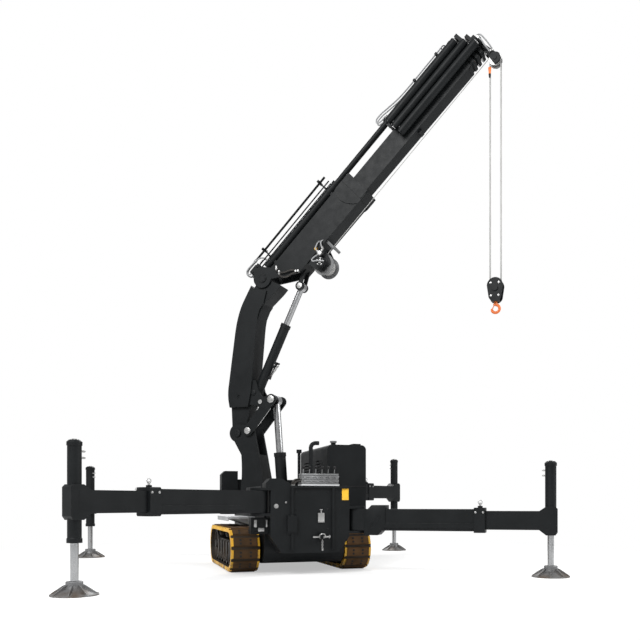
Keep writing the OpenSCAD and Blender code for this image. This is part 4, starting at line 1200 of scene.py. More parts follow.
@dataclass
class HoodTrim:
    """Seal and latches of the hood, fittings of the valve bank and of the doors beside it.

    Attributes:
        node: Name of the hood's CAD node.
        seal: Thickness of the seal round the hood's foot.
        seal_up: Height of the seal's middle over the hood's foot.
        latch: Thickness, width and tallness of a latch.
        latch_up: Height of a latch's foot over the hood's foot.
        latch_in: Distance of the outer latches from the hood's ends.
        lever_count: Levers on the valve bank.
        lever_lean: Lean of a lever, forwards.
        lever_len: Length of a lever.
        knob_r: Radius of a lever's knob.
        knob_down: Depth of a knob's middle under the bank's top.
        slab_count: Flat castings in the valve bank's stack.
        slab_t: Thickness of a casting.
        slab_up: Height of the first casting over the bank's foot.
        slab_pitch: Distance from one casting to the next.
        slab_step: How much each second casting is shorter at an end.
        hose_count: Hoses at the bank's left end.
        hose_r: Radius of such a hose.
        nut_r: Radius of the nuts on such a hose.
        left_doors: Start, pitch, length and foot of the doors on the left.
        right_foot: Foot of the doors on the right.
        right_in: Distance of a right door from the ends of its half of the bed.
        door_top: Top of all doors.
        door_in: Depth of the doors behind the sides of the body and of the bed.
    """

    node: str = "engine_hood"
    seal: float = 0.014
    seal_up: float = 0.01
    latch: Point = (0.012, 0.05, 0.075)
    latch_up: float = 0.03
    latch_in: float = 0.14
    lever_count: int = 6
    lever_lean: float = math.radians(18)
    lever_len: float = 0.09
    knob_r: float = 0.019
    knob_down: float = 0.0205
    slab_count: int = 5
    slab_t: float = 0.022
    slab_up: float = 0.03
    slab_pitch: float = 0.029
    slab_step: float = 0.026
    hose_count: int = 4
    hose_r: float = 0.011
    nut_r: float = 0.016
    left_doors: tuple[float, float, float, float] = (0.04, 0.64, 0.58, 0.9)
    right_foot: float = 0.73
    right_in: float = 0.06
    door_top: float = 1.16
    door_in: float = 0.01

    def build(self) -> None:
        """Makes the small parts of the hood, the valve bank and the doors."""
        low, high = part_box(self.node)
        self._seal(low, high)
        self._latches(low, high)
        bank_low, bank_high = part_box("valve_bank")
        self._knobs(bank_low, bank_high)
        self._slabs(bank_low, bank_high)
        self._bank_hoses(bank_low)
        self._doors()

    def _seal(self, low: Vector, high: Vector) -> None:
        """Makes the rubber seal round the foot of the hood.

        Args:
            low: Lowest corner of the hood.
            high: Highest corner of the hood.
        """
        seal = Bench("hood_seal")
        z = low.z + self.seal_up
        for x in (low.x, high.x):
            seal.rod((x, low.y, z), (x, high.y, z), self.seal / 2, sides=12)
        for y in (low.y, high.y):
            seal.rod((low.x, y, z), (high.x, y, z), self.seal / 2, sides=12)
        seal.done("carrier", RUBBER)

    def _latches(self, low: Vector, high: Vector) -> None:
        """Makes three latches with knobs on each long side of the hood.

        Args:
            low: Lowest corner of the hood.
            high: Highest corner of the hood.
        """
        thick, wide, tall = self.latch
        foot = low.z + self.latch_up
        knob_z = foot + 0.05
        latches = Bench("hood_latches")
        for x, out in ((low.x, -1), (high.x, 1)):
            left, right = sorted((x - 0.002 * out, x + thick * out))
            for y in (low.y + self.latch_in, (low.y + high.y) / 2, high.y - self.latch_in):
                latches.block((left, y - wide / 2, foot), (right, y + wide / 2, foot + tall))
                latches.rod((x, y, knob_z), (x + 0.026 * out, y, knob_z), 0.012, edge=0.002)
        latches.done("carrier", BARE_STEEL)

    def _knobs(self, low: Vector, high: Vector) -> None:
        """Makes the knobs on the ends of the valve bank's levers.

        Args:
            low: Lowest corner of the valve bank.
            high: Highest corner of the valve bank.
        """
        pitch = (high.x - low.x) / self.lever_count
        up = Vector((0, -math.sin(self.lever_lean), math.cos(self.lever_lean)))
        reach = self.lever_len + 0.008
        y = (low.y + high.y) / 2 + 0.005 - reach * math.sin(self.lever_lean)
        knobs = Bench("lever_knobs")
        for i in range(self.lever_count):
            at = Vector((low.x + (i + 0.5) * pitch, y, high.z - self.knob_down))
            knobs.rod(at - 0.016 * up, at + 0.024 * up, self.knob_r * 0.8, self.knob_r, edge=0.007)
        knobs.done("carrier", RUBBER)

    def _slabs(self, low: Vector, high: Vector) -> None:
        """Makes the flat castings stacked round the valve bank, stepped at both ends in turn.

        Args:
            low: Lowest corner of the valve bank.
            high: Highest corner of the valve bank.
        """
        slabs = Bench("valve_slabs")
        for i in range(self.slab_count):
            z = low.z + self.slab_up + i * self.slab_pitch
            start = (low.x + self.slab_step * (i % 2) + 0.004, low.y + 0.014, z)
            end = (high.x - self.slab_step * ((i + 1) % 2) - 0.004, high.y - 0.006, z + self.slab_t)
            slabs.block(start, end, 0.004)
        slabs.done("carrier", VALVE_ALLOY)

    def _bank_hoses(self, low: Vector) -> None:
        """Makes the hoses that leave the left end of the valve bank for the deck.

        Args:
            low: Lowest corner of the valve bank.
        """
        deck = level(low)
        nuts = Bench("bank_nuts", deck)
        for i in range(self.hose_count):
            y, z = 0.05 + 0.04 * i, 0.06 + 0.03 * (i % 2)
            route = [(0.03, y, z), (-0.03, y, z + 0.004), (-0.075, y, z - 0.012), (-0.1, y, z - 0.06)]
            route.append((-0.1, y, 0.001))
            line(f"bank_hose_{i + 1}", deck, route, self.hose_r, "carrier", BLACK_HOSE)
            nuts.rod((0.036, y, z), (0.0, y, z), self.nut_r, sides=6)
            nuts.rod((-0.1, y, 0.0), (-0.1, y, 0.018), self.nut_r, sides=6)
        nuts.done("carrier", BARE_STEEL)

    def _door_places(self) -> list[tuple[float, int, float, float, float]]:
        """Works out where the doors on both sides of the body are.

        Returns:
            For each door its face across, the way out, its front and rear end and its foot.
        """
        body_x, body_y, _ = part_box("front_body")[0]
        bed_low, bed_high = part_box("engine_bed")
        start, pitch, length, foot = self.left_doors
        half = (bed_high.y - bed_low.y) / 2
        left, right = [], []
        for i in range(2):
            near = body_y + start + pitch * i
            left.append((body_x + self.door_in, -1, near, near + length, foot))
            near = bed_low.y + i * half
            rear = near + half - self.right_in
            right.append((bed_high.x - self.door_in, 1, near + self.right_in, rear, self.right_foot))
        return left + right

    def _doors(self) -> None:
        """Makes the handles and hinges of the doors on both sides of the body."""
        handles, hinges = Bench("door_handles"), Bench("door_hinges")
        for x, out, near, far, foot in self._door_places():
            mid = (foot + self.door_top) / 2
            left, right = sorted((x - 0.002 * out, x + 0.008 * out))
            handles.block((left, far - 0.11, mid - 0.05), (right, far - 0.05, mid + 0.05))
            handles.rod((x, far - 0.08, mid), (x + 0.012 * out, far - 0.08, mid), 0.017, edge=0.002)
            hinge_x, hinge_y = x + 0.004 * out, near + 0.012
            for z in (foot + 0.05, self.door_top - 0.05):
                hinges.rod((hinge_x, hinge_y, z - 0.03), (hinge_x, hinge_y, z + 0.03), 0.008, edge=0.002)
        handles.done("carrier", BARE_STEEL)
        hinges.done("carrier", BLACK_PAINT)


@dataclass
class Outrigger:
    """Small parts of one outrigger: locking pin, jack's cap and ports and a right arm's housing.

    Attributes:
        corner: Corner of the carrier: lf, rf, lr or rr.
        joints: The frame's joints.
        arm_len: Length of the arm from its pivot.
        arm_h: Height of the arm.
        collar: Length of the collar at the arm's end.
        collar_t: How far the collar stands out of the arm.
        collar_bolt: Place of the collar's bolts from the pin: along, across and down from the top.
        pin_r: Radius of the locking pin.
        jack_r: Radius of the jack's barrel.
        cap_screws: Screws on the jack's cap.
        cap_r: Radius of the ring of screws.
        port_n: Place of the ports, across.
        ports_down: Depths of the ports under the barrel's top.
        root: Where the housing starts and ends along the arm.
        root_rise: How far the housing reaches under and over the arm's middle.
        root_cut: Size of the housing's cut corners.
        root_half: Half the width of the housing.
        root_t: Thickness of the housing's sides.
        rim_at: Middle of the pressed rim, from the housing's middle, along and up.
        rim_len: Distance between the rim's round ends.
        rim_r: Radius of the rim's round ends.
        rim_slope: Slope of the rim.
        rim_wire: Radius of the rim's bead.
    """

    corner: str
    joints: Joints
    arm_len: float = 1.83
    arm_h: float = 0.3
    collar: float = 0.15
    collar_t: float = 0.02
    collar_bolt: Point = (0.05, 0.135, 0.085)
    pin_r: float = 0.015
    jack_r: float = 0.074
    cap_screws: int = 6
    cap_r: float = 0.042
    port_n: float = 0.02
    ports_down: tuple[float, float] = (0.12, 0.19)
    root: tuple[float, float] = (0.15, 0.455)
    root_rise: tuple[float, float] = (0.215, 0.205)
    root_cut: float = 0.11
    root_half: float = 0.127
    root_t: float = 0.013
    rim_at: tuple[float, float] = (0.01, -0.025)
    rim_len: float = 0.17
    rim_r: float = 0.02
    rim_slope: float = math.atan2(0.19, 0.145)
    rim_wire: float = 0.004

    def build(self) -> None:
        """Makes the fittings of the arm and of the jack, and a right arm's housing."""
        axes = self.joints.arm(self.corner)
        arm_low, arm_high = (corner.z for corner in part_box(f"arm_{self.corner}"))
        self._lock_pin(axes, arm_high)
        self._jack_cap(axes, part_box(f"beam_{self.corner}")[1].z)
        if self.corner[0] == "r":
            middle = arm_low + self.collar_t + self.arm_h / 2
            self._housing(axes, middle)
            self._rims(axes, middle)

    def _lock_pin(self, axes: Axes, top: float) -> None:
        """Makes the pin with its ring through the arm's collar, and the collar's bolts.

        Args:
            axes: Frame of the arm.
            top: Height of the collar's top.
        """
        x = self.arm_len - self.collar / 2
        pin = Bench(f"lock_pin_{self.corner}", axes)
        pin.rod((x, 0, top - 0.03), (x, 0, top + 0.045), self.pin_r, edge=0.003)
        pin.ring((x, 0, top + 0.05), (0, 1, 0), 0.028, 0.005)
        along, across, down = self.collar_bolt
        for end in (-1, 1):
            for side in (-1, 1):
                pin.bolt((x + end * along, side * across, top - down), (0, side, 0), 0.010)
        pin.done(f"arm_{self.corner}", BARE_STEEL)

    def _jack_cap(self, axes: Axes, top: float) -> None:
        """Makes the nut and screws on the jack's cap and the two ports of its barrel.

        Args:
            axes: Frame of the arm.
            top: Height of the barrel's top.
        """
        low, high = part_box(f"foot_{self.corner}")
        x = (axes.matrix().inverted() @ ((low + high) / 2)).x
        cap = Bench(f"jack_cap_{self.corner}", axes)
        cap.rod((x, 0, top - 0.002), (x, 0, top + 0.012), 0.026, sides=6)
        for i in range(self.cap_screws):
            turn = 2 * math.pi * i / self.cap_screws
            at = (x + self.cap_r * math.cos(turn), self.cap_r * math.sin(turn), top)
            cap.bolt(at, UPWARDS, 0.006, 0.006)
        wall, n = x - self.jack_r, self.port_n
        for down in self.ports_down:
            z = top - down
            cap.rod((wall + 0.01, n, z), (wall - 0.028, n, z), 0.013, sides=6)
            cap.rod((wall - 0.026, n, z), (wall - 0.04, n, z), 0.009, sides=16)
        cap.done(f"beam_{self.corner}", BARE_STEEL)

    def _housing(self, axes: Axes, middle: float) -> None:
        """Makes the housing round the root of a right arm, open along it for the beam.

        Args:
            axes: Frame of the arm.
            middle: Height of the arm's middle.
        """
        (near, far), (down, up), cut, half = self.root, self.root_rise, self.root_cut, self.root_half
        outline = [(near, -down), (far - cut, -down), (far, cut - down)]
        outline += [(far, up), (near + cut, up), (near, up - cut)]
        wall = self.arm_h / 2 - 0.001
        over = [(near + wall + cut - up, wall), (far, wall), (far, up), (near + cut, up)]
        under = [(near, -down), (far - cut, -down), (far - cut + down - wall, -wall), (near, -wall)]
        skin = half - self.root_t
        slabs = ((outline, -half, -skin), (outline, skin, half), (over, -skin, skin), (under, -skin, skin))
        housing = Bench(f"arm_housing_{self.corner}", axes)
        for shape, start, end in slabs:
            housing.prism([(x, middle + z) for x, z in shape], start, end)
        housing.done(f"arm_{self.corner}", BLACK_PAINT)

    def _rims(self, axes: Axes, middle: float) -> None:
        """Makes the pressed rim, long with round ends, on both sides of the housing.

        Args:
            axes: Frame of the arm.
            middle: Height of the arm's middle.
        """
        slope, steps = self.rim_slope, 16
        mid_x, mid_z = sum(self.root) / 2 + self.rim_at[0], middle + self.rim_at[1]
        for number, side in enumerate((-1, 1), 1):
            points = []
            for i in range(steps + 1):
                turn = slope + math.pi / 2 + 2 * math.pi * i / steps
                end = 0.5 if math.sin(turn - slope - math.pi / 2) <= 0.0 else -0.5
                x = mid_x + self.rim_r * math.cos(turn) + end * self.rim_len * math.cos(slope)
                z = mid_z + self.rim_r * math.sin(turn) + end * self.rim_len * math.sin(slope)
                points.append((x, side * self.root_half, z))
            name = f"arm_rim_{self.corner}_{number}"
            line(name, axes, points, self.rim_wire, f"arm_{self.corner}", BLACK_PAINT)


@dataclass
class Linkage:
    """Pin caps of the column, the lift links and the elbow cylinder, and that cylinder's valve.

    Attributes:
        joints: The frame's joints.
        cap_t: Thickness of a cap.
        link_pin: Pin of the link plates on the column, along the reach and up.
        boom_pin: Pin of the inner boom on the column.
        lift_foot: Pin of the lift cylinder's foot.
        link_len: Length of the links between their pins.
        link_deg: Slope of the links at rest, in degrees.
        knee_foot: Pin of the elbow cylinder's foot.
        knee_eye: Pin of the elbow cylinder's eye, along the outer boom and up from the elbow.
        tie_out: Distance from the boom's plane past which the tie pin shows.
        tie_r: Radius round the tie pin's axis within which a face is the pin's.
        screw_count: Screws on a cap.
        screw_share: Place of the screws, as a share of the cap's radius.
    """

    joints: Joints
    cap_t: float = 0.011
    link_pin: tuple[float, float] = (-0.12, 2.17)
    boom_pin: tuple[float, float] = BOOM_PIN
    lift_foot: tuple[float, float] = (0.42, 1.05)
    link_len: float = 0.653
    link_deg: float = 50.0
    knee_foot: tuple[float, float] = (-0.05, 2.80)
    knee_eye: tuple[float, float] = KNEE_EYE
    tie_out: float = 0.142
    tie_r: float = 0.038
    screw_count: int = 3
    screw_share: float = 0.55

    def build(self, inner_boom: bpy.types.Object) -> None:
        """Makes the caps, each on the body that carries its pin, and bares the ends of the tie pin.

        Args:
            inner_boom: CAD node of the inner boom, which carries the tie pin.
        """
        crane = self.joints.crane()
        turn = math.radians(self.link_deg)
        reach = (self.link_len * math.cos(turn), self.link_len * math.sin(turn))
        eye = (self.link_pin[0] + reach[0], self.link_pin[1] + reach[1])
        tie = (self.boom_pin[0] + reach[0], self.boom_pin[1] + reach[1])
        self._caps("boom_pin_caps", crane, self.boom_pin, 0.18, 0.062, "column", BLACK_PAINT)
        self._caps("link_pin_caps", crane, self.link_pin, 0.217, 0.056, "column", BARE_STEEL)
        self._caps("lift_foot_caps", crane, self.lift_foot, 0.108, 0.048, "column", BLACK_PAINT)
        self._caps("lift_eye_caps", crane, eye, 0.205, 0.062, "link_plates", BARE_STEEL)
        self._caps("knee_foot_caps", crane, self.knee_foot, 0.14, 0.046, "inner_boom", BLACK_PAINT)
        back = crane.matrix().inverted()

        def on_tie(at: Vector) -> bool:
            """Tells whether a face belongs to an end of the tie pin."""
            spot = back @ at
            return abs(spot.y) > self.tie_out and math.hypot(spot.x - tie[0], spot.z - tie[1]) < self.tie_r

        repaint(inner_boom, BARE_STEEL, on_tie)
        self._valve()

    def _valve(self) -> None:
        """Makes the holding valve with its pipes on the elbow cylinder's barrel."""
        foot = self.joints.crane().matrix() @ Vector((self.knee_foot[0], 0, self.knee_foot[1]))
        eye = self.joints.boom().matrix() @ Vector((self.knee_eye[0], 0, self.knee_eye[1]))
        ram = Axes(foot, (eye - foot).normalized(), -self.joints.axis("lift"))
        base = Bench("holding_valve", ram)
        base.block((0.5, -0.035, -0.128), (0.61, 0.035, -0.066), 0.004)
        base.block((0.3, -0.03, -0.112), (0.345, 0.03, -0.068), 0.004)
        base.rod((0.585, 0, -0.12), (0.6, 0, -0.165), 0.016, sides=6)
        base.done("elbow_barrel", BLACK_PAINT)
        tubes = Bench("valve_tubes", ram)
        tubes.rod((0.37, 0.0, -0.106), (0.53, 0.0, -0.14), 0.015, edge=0.003)
        tubes.rod((0.455, 0.0, -0.122), (0.505, 0.0, -0.135), 0.021, sides=6)
        tubes.rod((0.53, 0.0, -0.14), (0.575, 0.0, -0.15), 0.021, edge=0.003)
        tubes.rod((0.555, -0.03, -0.11), (0.555, -0.05, -0.11), 0.013, sides=6)
        tubes.done("elbow_barrel", BARE_STEEL)
        for number, side in enumerate((-1, 1), 1):
            route = [(0.325, side * 0.016, -0.105), (0.37, side * 0.018, -0.107),
                     (0.44, side * 0.022, -0.112), (0.51, side * 0.024, -0.118)]
            line(f"valve_pipe_{number}", ram, route, 0.008, "elbow_barrel", BLACK_HOSE)

    def _caps(
        self,
        name: str,
        axes: Axes,
        at: tuple[float, float],
        side: float,
        radius: float,
        body: str,
        finish: Finish,
    ) -> None:
        """Makes the caps on both ends of a pin, each with its screws.

        Args:
            name: Name of the piece.
            axes: Frame of the crane.
            at: Place of the pin, along the reach and up.
            side: How far from the boom's plane the pin ends.
            radius: Radius of a cap.
            body: Body that carries the pin.
            finish: Finish of the caps.
        """
        x, z = at
        ring_r = self.screw_share * radius
        caps = Bench(name, axes)
        for way in (-1, 1):
            face = way * (side + self.cap_t)
            caps.rod((x, way * (side - 0.003), z), (x, face, z), radius, edge=0.003)
            for i in range(self.screw_count):
                turn = math.radians(90 + 360 / self.screw_count * i)
                spot = (x + ring_r * math.cos(turn), face, z + ring_r * math.sin(turn))
                caps.bolt(spot, (0, way, 0), 0.007, 0.006)
        caps.done(body, finish)


@dataclass
class BoomLines:
    """Pipes, hoses and fittings on the two booms.

    Attributes:
        joints: The frame's joints.
        pipe_t: Height of the upper pipes over the elbow's axis.
        pipe_n: Distance of an upper pipe from the boom's plane.
        pipe_r: Radius of an upper pipe.
        pipe_end: Place of the upper pipes' near end along the boom.
        pipe_past: How far the upper pipes reach past the last post.
        hose_r: Radius of a hose at the elbow.
        nut_r: Radius of the nuts on such a hose.
        post_s: Places of the posts along the boom.
        post_foot: Height of a post's foot.
        port: Place of the hoses' ports, along the boom and up.
        port_n: Distance of a port from the boom's plane.
        loop_n: Distance of a port's hose from the boom's plane where it turns back.
        loop_r: Radius of that turn.
        manifold: Rear face of the manifold along the boom, and height of its hoses.
        manifold_size: Length of the manifold and half its width.
        block_top: Height of the hose block's top.
        pin_out: Distance of the elbow pin's ends from the boom's plane.
        pin_bolts: Bolts on an end of the elbow pin.
        pin_ring: Radius of their ring.
        boss: Places of the hose block's bosses along the boom.
        boss_t: Height of those bosses.
        boss_out: Where such a boss starts and ends, from the boom's plane.
        knee_eye: Pin of the elbow cylinder's eye, along the boom and up.
        knee_out: Where a cap of that pin starts and ends, from the boom's plane.
        boom_pin: Pin of the inner boom on the column, along the reach and up.
        far_route: Middle of the far pipes from that pin, along the reach and up.
        far_pitch: Distance from one far pipe to the next.
    """

    joints: Joints
    pipe_t: float = 0.400
    pipe_n: float = 0.014
    pipe_r: float = 0.0105
    pipe_end: float = 0.10
    pipe_past: float = 0.12
    hose_r: float = 0.0115
    nut_r: float = 0.0165
    post_s: tuple[float, float] = (0.33, 1.72)
    post_foot: float = 0.262
    port: tuple[float, float] = (0.25, 0.222)
    port_n: float = 0.03
    loop_n: float = 0.1
    loop_r: float = 0.046
    manifold: tuple[float, float] = (-0.08, 0.256)
    manifold_size: tuple[float, float] = (0.15, 0.13)
    block_top: float = 0.238
    pin_out: float = 0.189
    pin_bolts: int = 6
    pin_ring: float = 0.054
    boss: tuple[float, float] = (-0.045, 0.075)
    boss_t: float = 0.205
    boss_out: tuple[float, float] = (0.173, 0.186)
    knee_eye: tuple[float, float] = KNEE_EYE
    knee_out: tuple[float, float] = (0.092, 0.106)
    boom_pin: tuple[float, float] = BOOM_PIN
    far_route: tuple[tuple[float, float], ...] = (
        (0.03, 0.72), (0.055, 1.0), (0.11, 1.4), (0.17, 1.8), (0.215, 1.98),
    )
    far_pitch: float = 0.05

    def build(self) -> None:
        """Makes the lines over the outer boom, the loops at the elbow and the lines on the inner boom."""
        boom = self.joints.boom()
        self._clamps(boom)
        self._loops(boom)
        self._elbow_bolts(boom)
        self._knee_caps(boom)
        self._side_hoses(boom)
        self._far_pipes(self.joints.crane())

    def _clamps(self, boom: Axes) -> None:
        """Makes the two upper pipes and the posts with the clamps that hold them.

        Args:
            boom: Frame of the outer boom.
        """
        t = self.pipe_t
        pipes = Bench("upper_pipes", boom)
        for side in (-1, 1):
            n = side * self.pipe_n
            end = (self.post_s[1] + self.pipe_past, n, t)
            pipes.rod((self.pipe_end, n, t), end, self.pipe_r, sides=16, edge=0.001)
        pipes.done("outer_boom", BLACK_PAINT)
        clamps = Bench("pipe_clamps", boom)
        for s in self.post_s:
            clamps.block((s - 0.012, -0.012, self.post_foot), (s + 0.012, 0.012, t), 0.002)
            clamps.block((s - 0.022, -0.075, t - 0.014), (s + 0.022, 0.075, t + 0.017), 0.004)
            clamps.bolt((s, 0.0, t + 0.017), UPWARDS, 0.008, 0.007)
        clamps.done("outer_boom", BLACK_PAINT)

    def _turn_back(self, n: float, radius: float) -> list[Point]:
        """Returns the points of a hose that turns back into the manifold.

        Args:
            n: Side offset of the hose.
            radius: Radius of its turn.

        Returns:
            The points from the start of the turn to the manifold's rear face.
        """
        s, low = self.manifold
        mid = low + radius
        points = []
        for degrees in range(0, 181, 36):
            turn = math.radians(degrees)
            points.append((s - 0.012 - radius * math.sin(turn), n, mid + radius * math.cos(turn)))
        return points + [(s + 0.004, n, low)]

    def _loops(self, boom: Axes) -> None:
        """Makes the manifold on the hose block and the four hoses that turn back into it.

        Args:
            boom: Frame of the outer boom.
        """
        s, low = self.manifold
        length, half = self.manifold_size
        block = Bench("hose_manifold", boom)
        block.block((s, -half, self.block_top - 0.006), (s + length, half, low + 0.026), 0.005)
        block.done("outer_boom", RUBBER)
        nuts = Bench("loop_fittings", boom)
        end, t = self.pipe_end, self.pipe_t
        port_s, port_t = self.port
        top = low + 2 * self.loop_r
        for number, side in enumerate((-1, 1), 1):
            n, wide, port_n = side * self.pipe_n, side * self.loop_n, side * self.port_n
            route = [(end, n, t), (0.03, n, t)] + self._turn_back(n, (t - low) / 2)
            line(f"elbow_hose_{number}", boom, route, self.hose_r, "outer_boom", PALE_HOSE_AND_SHEEN)
            nuts.rod((end + 0.02, n, t), (end - 0.03, n, t), self.nut_r, sides=6)
            route = [(port_s, port_n, port_t), (port_s - 0.01, side * 0.034, port_t + 0.06),
                     (port_s - 0.07, side * 0.055, top - 0.006), (0.08, side * 0.085, top), (0.0, wide, top)]
            route += self._turn_back(wide, self.loop_r)
            line(f"port_hose_{number}", boom, route, self.hose_r, "outer_boom", PALE_HOSE_AND_SHEEN)
            nuts.rod((port_s, port_n, port_t - 0.012), (port_s, port_n, port_t + 0.02), 0.016, sides=6)
            for at in (n, wide):
                nuts.rod((s + 0.002, at, low), (s - 0.016, at, low), self.nut_r, sides=6)
        nuts.done("outer_boom", BARE_STEEL)

    def _elbow_bolts(self, boom: Axes) -> None:
        """Makes the ring of bolts on both ends of the elbow pin and the bosses of the hose block.

        Args:
            boom: Frame of the outer boom.
        """
        bolts = Bench("elbow_bolts", boom)
        start, end = self.boss_out
        for side in (-1, 1):
            out = (0, side, 0)
            for i in range(self.pin_bolts):
                turn = 2 * math.pi * i / self.pin_bolts
                at = (self.pin_ring * math.cos(turn), side * self.pin_out, self.pin_ring * math.sin(turn))
                bolts.bolt(at, out, 0.009, 0.008)
            for s in self.boss:
                bolts.rod((s, side * start, self.boss_t), (s, side * end, self.boss_t), 0.02, edge=0.003)
                bolts.bolt((s, side * end, self.boss_t), out, 0.01)
        bolts.done("outer_boom", BLACK_PAINT)

    def _knee_caps(self, boom: Axes) -> None:
        """Makes the caps of the elbow cylinder's upper pin.

        Args:
            boom: Frame of the outer boom.
        """
        caps = Bench("knee_eye_caps", boom)
        s, t = self.knee_eye
        start, end = self.knee_out
        for side in (-1, 1):
            caps.rod((s, side * start, t), (s, side * end, t), 0.046, edge=0.003)
            caps.bolt((s, side * end, t), (0, side, 0), 0.012)
        caps.done("outer_boom", BARE_STEEL)

    def _side_hoses(self, boom: Axes) -> None:
        """Makes the two hoses along the near side from the elbow towards the winch, with bright fittings.

        Args:
            boom: Frame of the outer boom.
        """
        nuts = Bench("side_fittings", boom)
        for i, (s, t) in enumerate(((0.275, -0.1), (0.258, -0.19))):
            step = 0.03 * i
            nuts.rod((s - 0.02, -0.196, t - 0.02), (s + 0.03, -0.196, t + 0.03), 0.019, edge=0.004)
            nuts.rod((s, -0.172, t), (s, -0.2, t), 0.024, sides=6)
            route = [(s - 0.02, -0.196, t - 0.02), (s - 0.016, -0.202, t - 0.075),
                     (s + 0.04, -0.206, t - 0.15), (s + 0.15, -0.206, t - 0.225 + step),
                     (0.485 + step, -0.2, -0.405 - step)]
            line(f"side_hose_{i + 1}", boom, route, 0.013, "outer_boom", BLACK_HOSE)
            end_s, end_t = 0.47 + step, -0.4 - step
            nuts.rod((end_s, -0.172, end_t), (end_s, -0.218, end_t), 0.019, sides=6)
        nuts.done("outer_boom", BARE_STEEL)

    def _far_pipes(self, crane: Axes) -> None:
        """Makes the three pipes up the far side of the inner boom, in their clamps.

        Args:
            crane: Frame of the crane.
        """
        route = [(self.boom_pin[0] + r, self.boom_pin[1] + z) for r, z in self.far_route]
        for i in range(3):
            shift = (i - 1) * self.far_pitch
            points = [(r + shift, 0.186, z) for r, z in route]
            line(f"far_pipe_{i + 1}", crane, points, 0.011, "inner_boom", BARE_STEEL)
        clamps = Bench("far_clamps", crane)
        for r, z in route[::2]:
            clamps.block((r - 0.08, 0.168, z - 0.025), (r + 0.08, 0.201, z + 0.025), 0.004)
        clamps.done("inner_boom", BLACK_PAINT)


@dataclass
class Winch:
    """The rope wound on the winch drum, and the motor's valve, pipes, plug and guard.

    Attributes:
        joints: The frame's joints.
        drum_r: Radius of the drum's barrel.
        rope_r: Radius of the rope.
        lay_gap: Least gap between two turns, for each side of a turn.
        half: Half the width that the turns fill.
        bottom: Height of the boom's underside over the elbow's axis.
        pipe_r: Radius of the motor's pipes.
        screw_count: Screws on the motor's cover.
        screw_r: Radius of their ring.
        guard_s: Where the guard starts and ends along the boom, from the drum's axis.
        guard_n: Where a cheek of the guard starts and ends, from the boom's plane.
        guard_t: Height of the guard's foot and of its roller over the drum's axis.
        roller_half: Half the length of the guard's roller.
    """

    joints: Joints
    drum_r: float = 0.105
    rope_r: float = ROPE_R
    lay_gap: float = 0.0002
    half: float = 0.098
    bottom: float = -0.447
    pipe_r: float = 0.0105
    screw_count: int = 5
    screw_r: float = 0.052
    guard_s: tuple[float, float] = (0.272, 0.318)
    guard_n: tuple[float, float] = (0.115, 0.135)
    guard_t: tuple[float, float] = (0.045, 0.072)
    roller_half: float = 0.145

    def build(self) -> None:
        """Makes the turns of rope side by side on the drum, and the fittings round the motor."""
        boom = self.joints.boom()
        at = boom.matrix().inverted() @ self.joints.place("winch_turn")
        winch = Axes(boom.matrix() @ Vector((at.x, 0, at.z)), boom.along, boom.across)
        turns = Bench("drum_rope", winch)
        count = int(self.half / (self.rope_r + self.lay_gap))
        for i in range(count):
            n = -self.half + (2 * i + 1) * self.half / count
            turns.ring((0, n, 0), (0, 1, 0), self.drum_r + self.rope_r, self.rope_r, 48)
        turns.done("winch_drum", WIRE_ROPE)
        bottom = self.bottom - at.z
        self._valve(winch)
        plug = Bench("winch_plug", winch)
        plug.rod((0.09, -0.172, bottom + 0.04), (0.09, -0.2, bottom + 0.04), 0.025, 0.02, edge=0.004)
        plug.done("outer_boom", PLATE_YELLOW)
        self._pipes(winch)
        self._guard(winch, bottom)

    def _valve(self, winch: Axes) -> None:
        """Makes the motor's valve with its fittings and the motor's cap with its screws.

        Args:
            winch: Frame of the boom, from the drum's axis.
        """
        bright = Bench("winch_valve", winch)
        bright.block((0.055, -0.262, 0.085), (0.115, -0.205, 0.15), 0.005)
        bright.rod((0.085, -0.235, 0.146), (0.085, -0.235, 0.19), 0.016, sides=6)
        bright.rod((0.11, -0.235, 0.12), (0.165, -0.235, 0.128), 0.016, edge=0.003)
        bright.rod((0.16, -0.235, 0.12), (0.185, -0.235, 0.16), 0.02, sides=6)
        bright.rod((0.0, -0.276, 0.0), (0.0, -0.29, 0.0), 0.03, edge=0.004)
        for i in range(self.screw_count):
            turn = 2 * math.pi * (i + 0.5) / self.screw_count
            at = (self.screw_r * math.cos(turn), -0.28, self.screw_r * math.sin(turn))
            bright.bolt(at, (0, -1, 0), 0.008, 0.007)
        bright.done("outer_boom", BARE_STEEL)

    def _pipes(self, winch: Axes) -> None:
        """Makes the motor's three pipes.

        Args:
            winch: Frame of the boom, from the drum's axis.
        """
        routes = (
            [(0.06, -0.25, 0.115), (0.0, -0.285, 0.118), (-0.06, -0.3, 0.118), (-0.075, -0.302, 0.1),
             (-0.03, -0.302, 0.045), (0.03, -0.3, -0.03), (0.045, -0.284, -0.052)],
            [(0.085, -0.235, 0.18), (0.09, -0.232, 0.225), (0.13, -0.215, 0.262), (0.19, -0.195, 0.285),
             (0.22, -0.17, 0.29)],
            [(0.175, -0.235, 0.15), (0.195, -0.23, 0.2), (0.225, -0.212, 0.245), (0.262, -0.17, 0.262)],
        )
        for number, route in enumerate(routes, 1):
            line(f"winch_pipe_{number}", winch, route, self.pipe_r, "outer_boom", PALE_HOSE_AND_SHEEN)

    def _guard(self, winch: Axes, bottom: float) -> None:
        """Makes the two cheeks of the rope's guard and the roller between them.

        Args:
            winch: Frame of the boom, from the drum's axis.
            bottom: Height of the boom's underside over the drum's axis.
        """
        guard = Bench("rope_guard", winch)
        near, far = self.guard_s
        foot, roller = self.guard_t
        for side in (-1, 1):
            left, right = sorted(side * n for n in self.guard_n)
            guard.block((near, left, foot), (far, right, bottom + 0.004), 0.004)
        mid = (near + far) / 2
        guard.rod((mid, -self.roller_half, roller), (mid, self.roller_half, roller), 0.02, edge=0.004)
        guard.done("outer_boom", CAST_GREY)


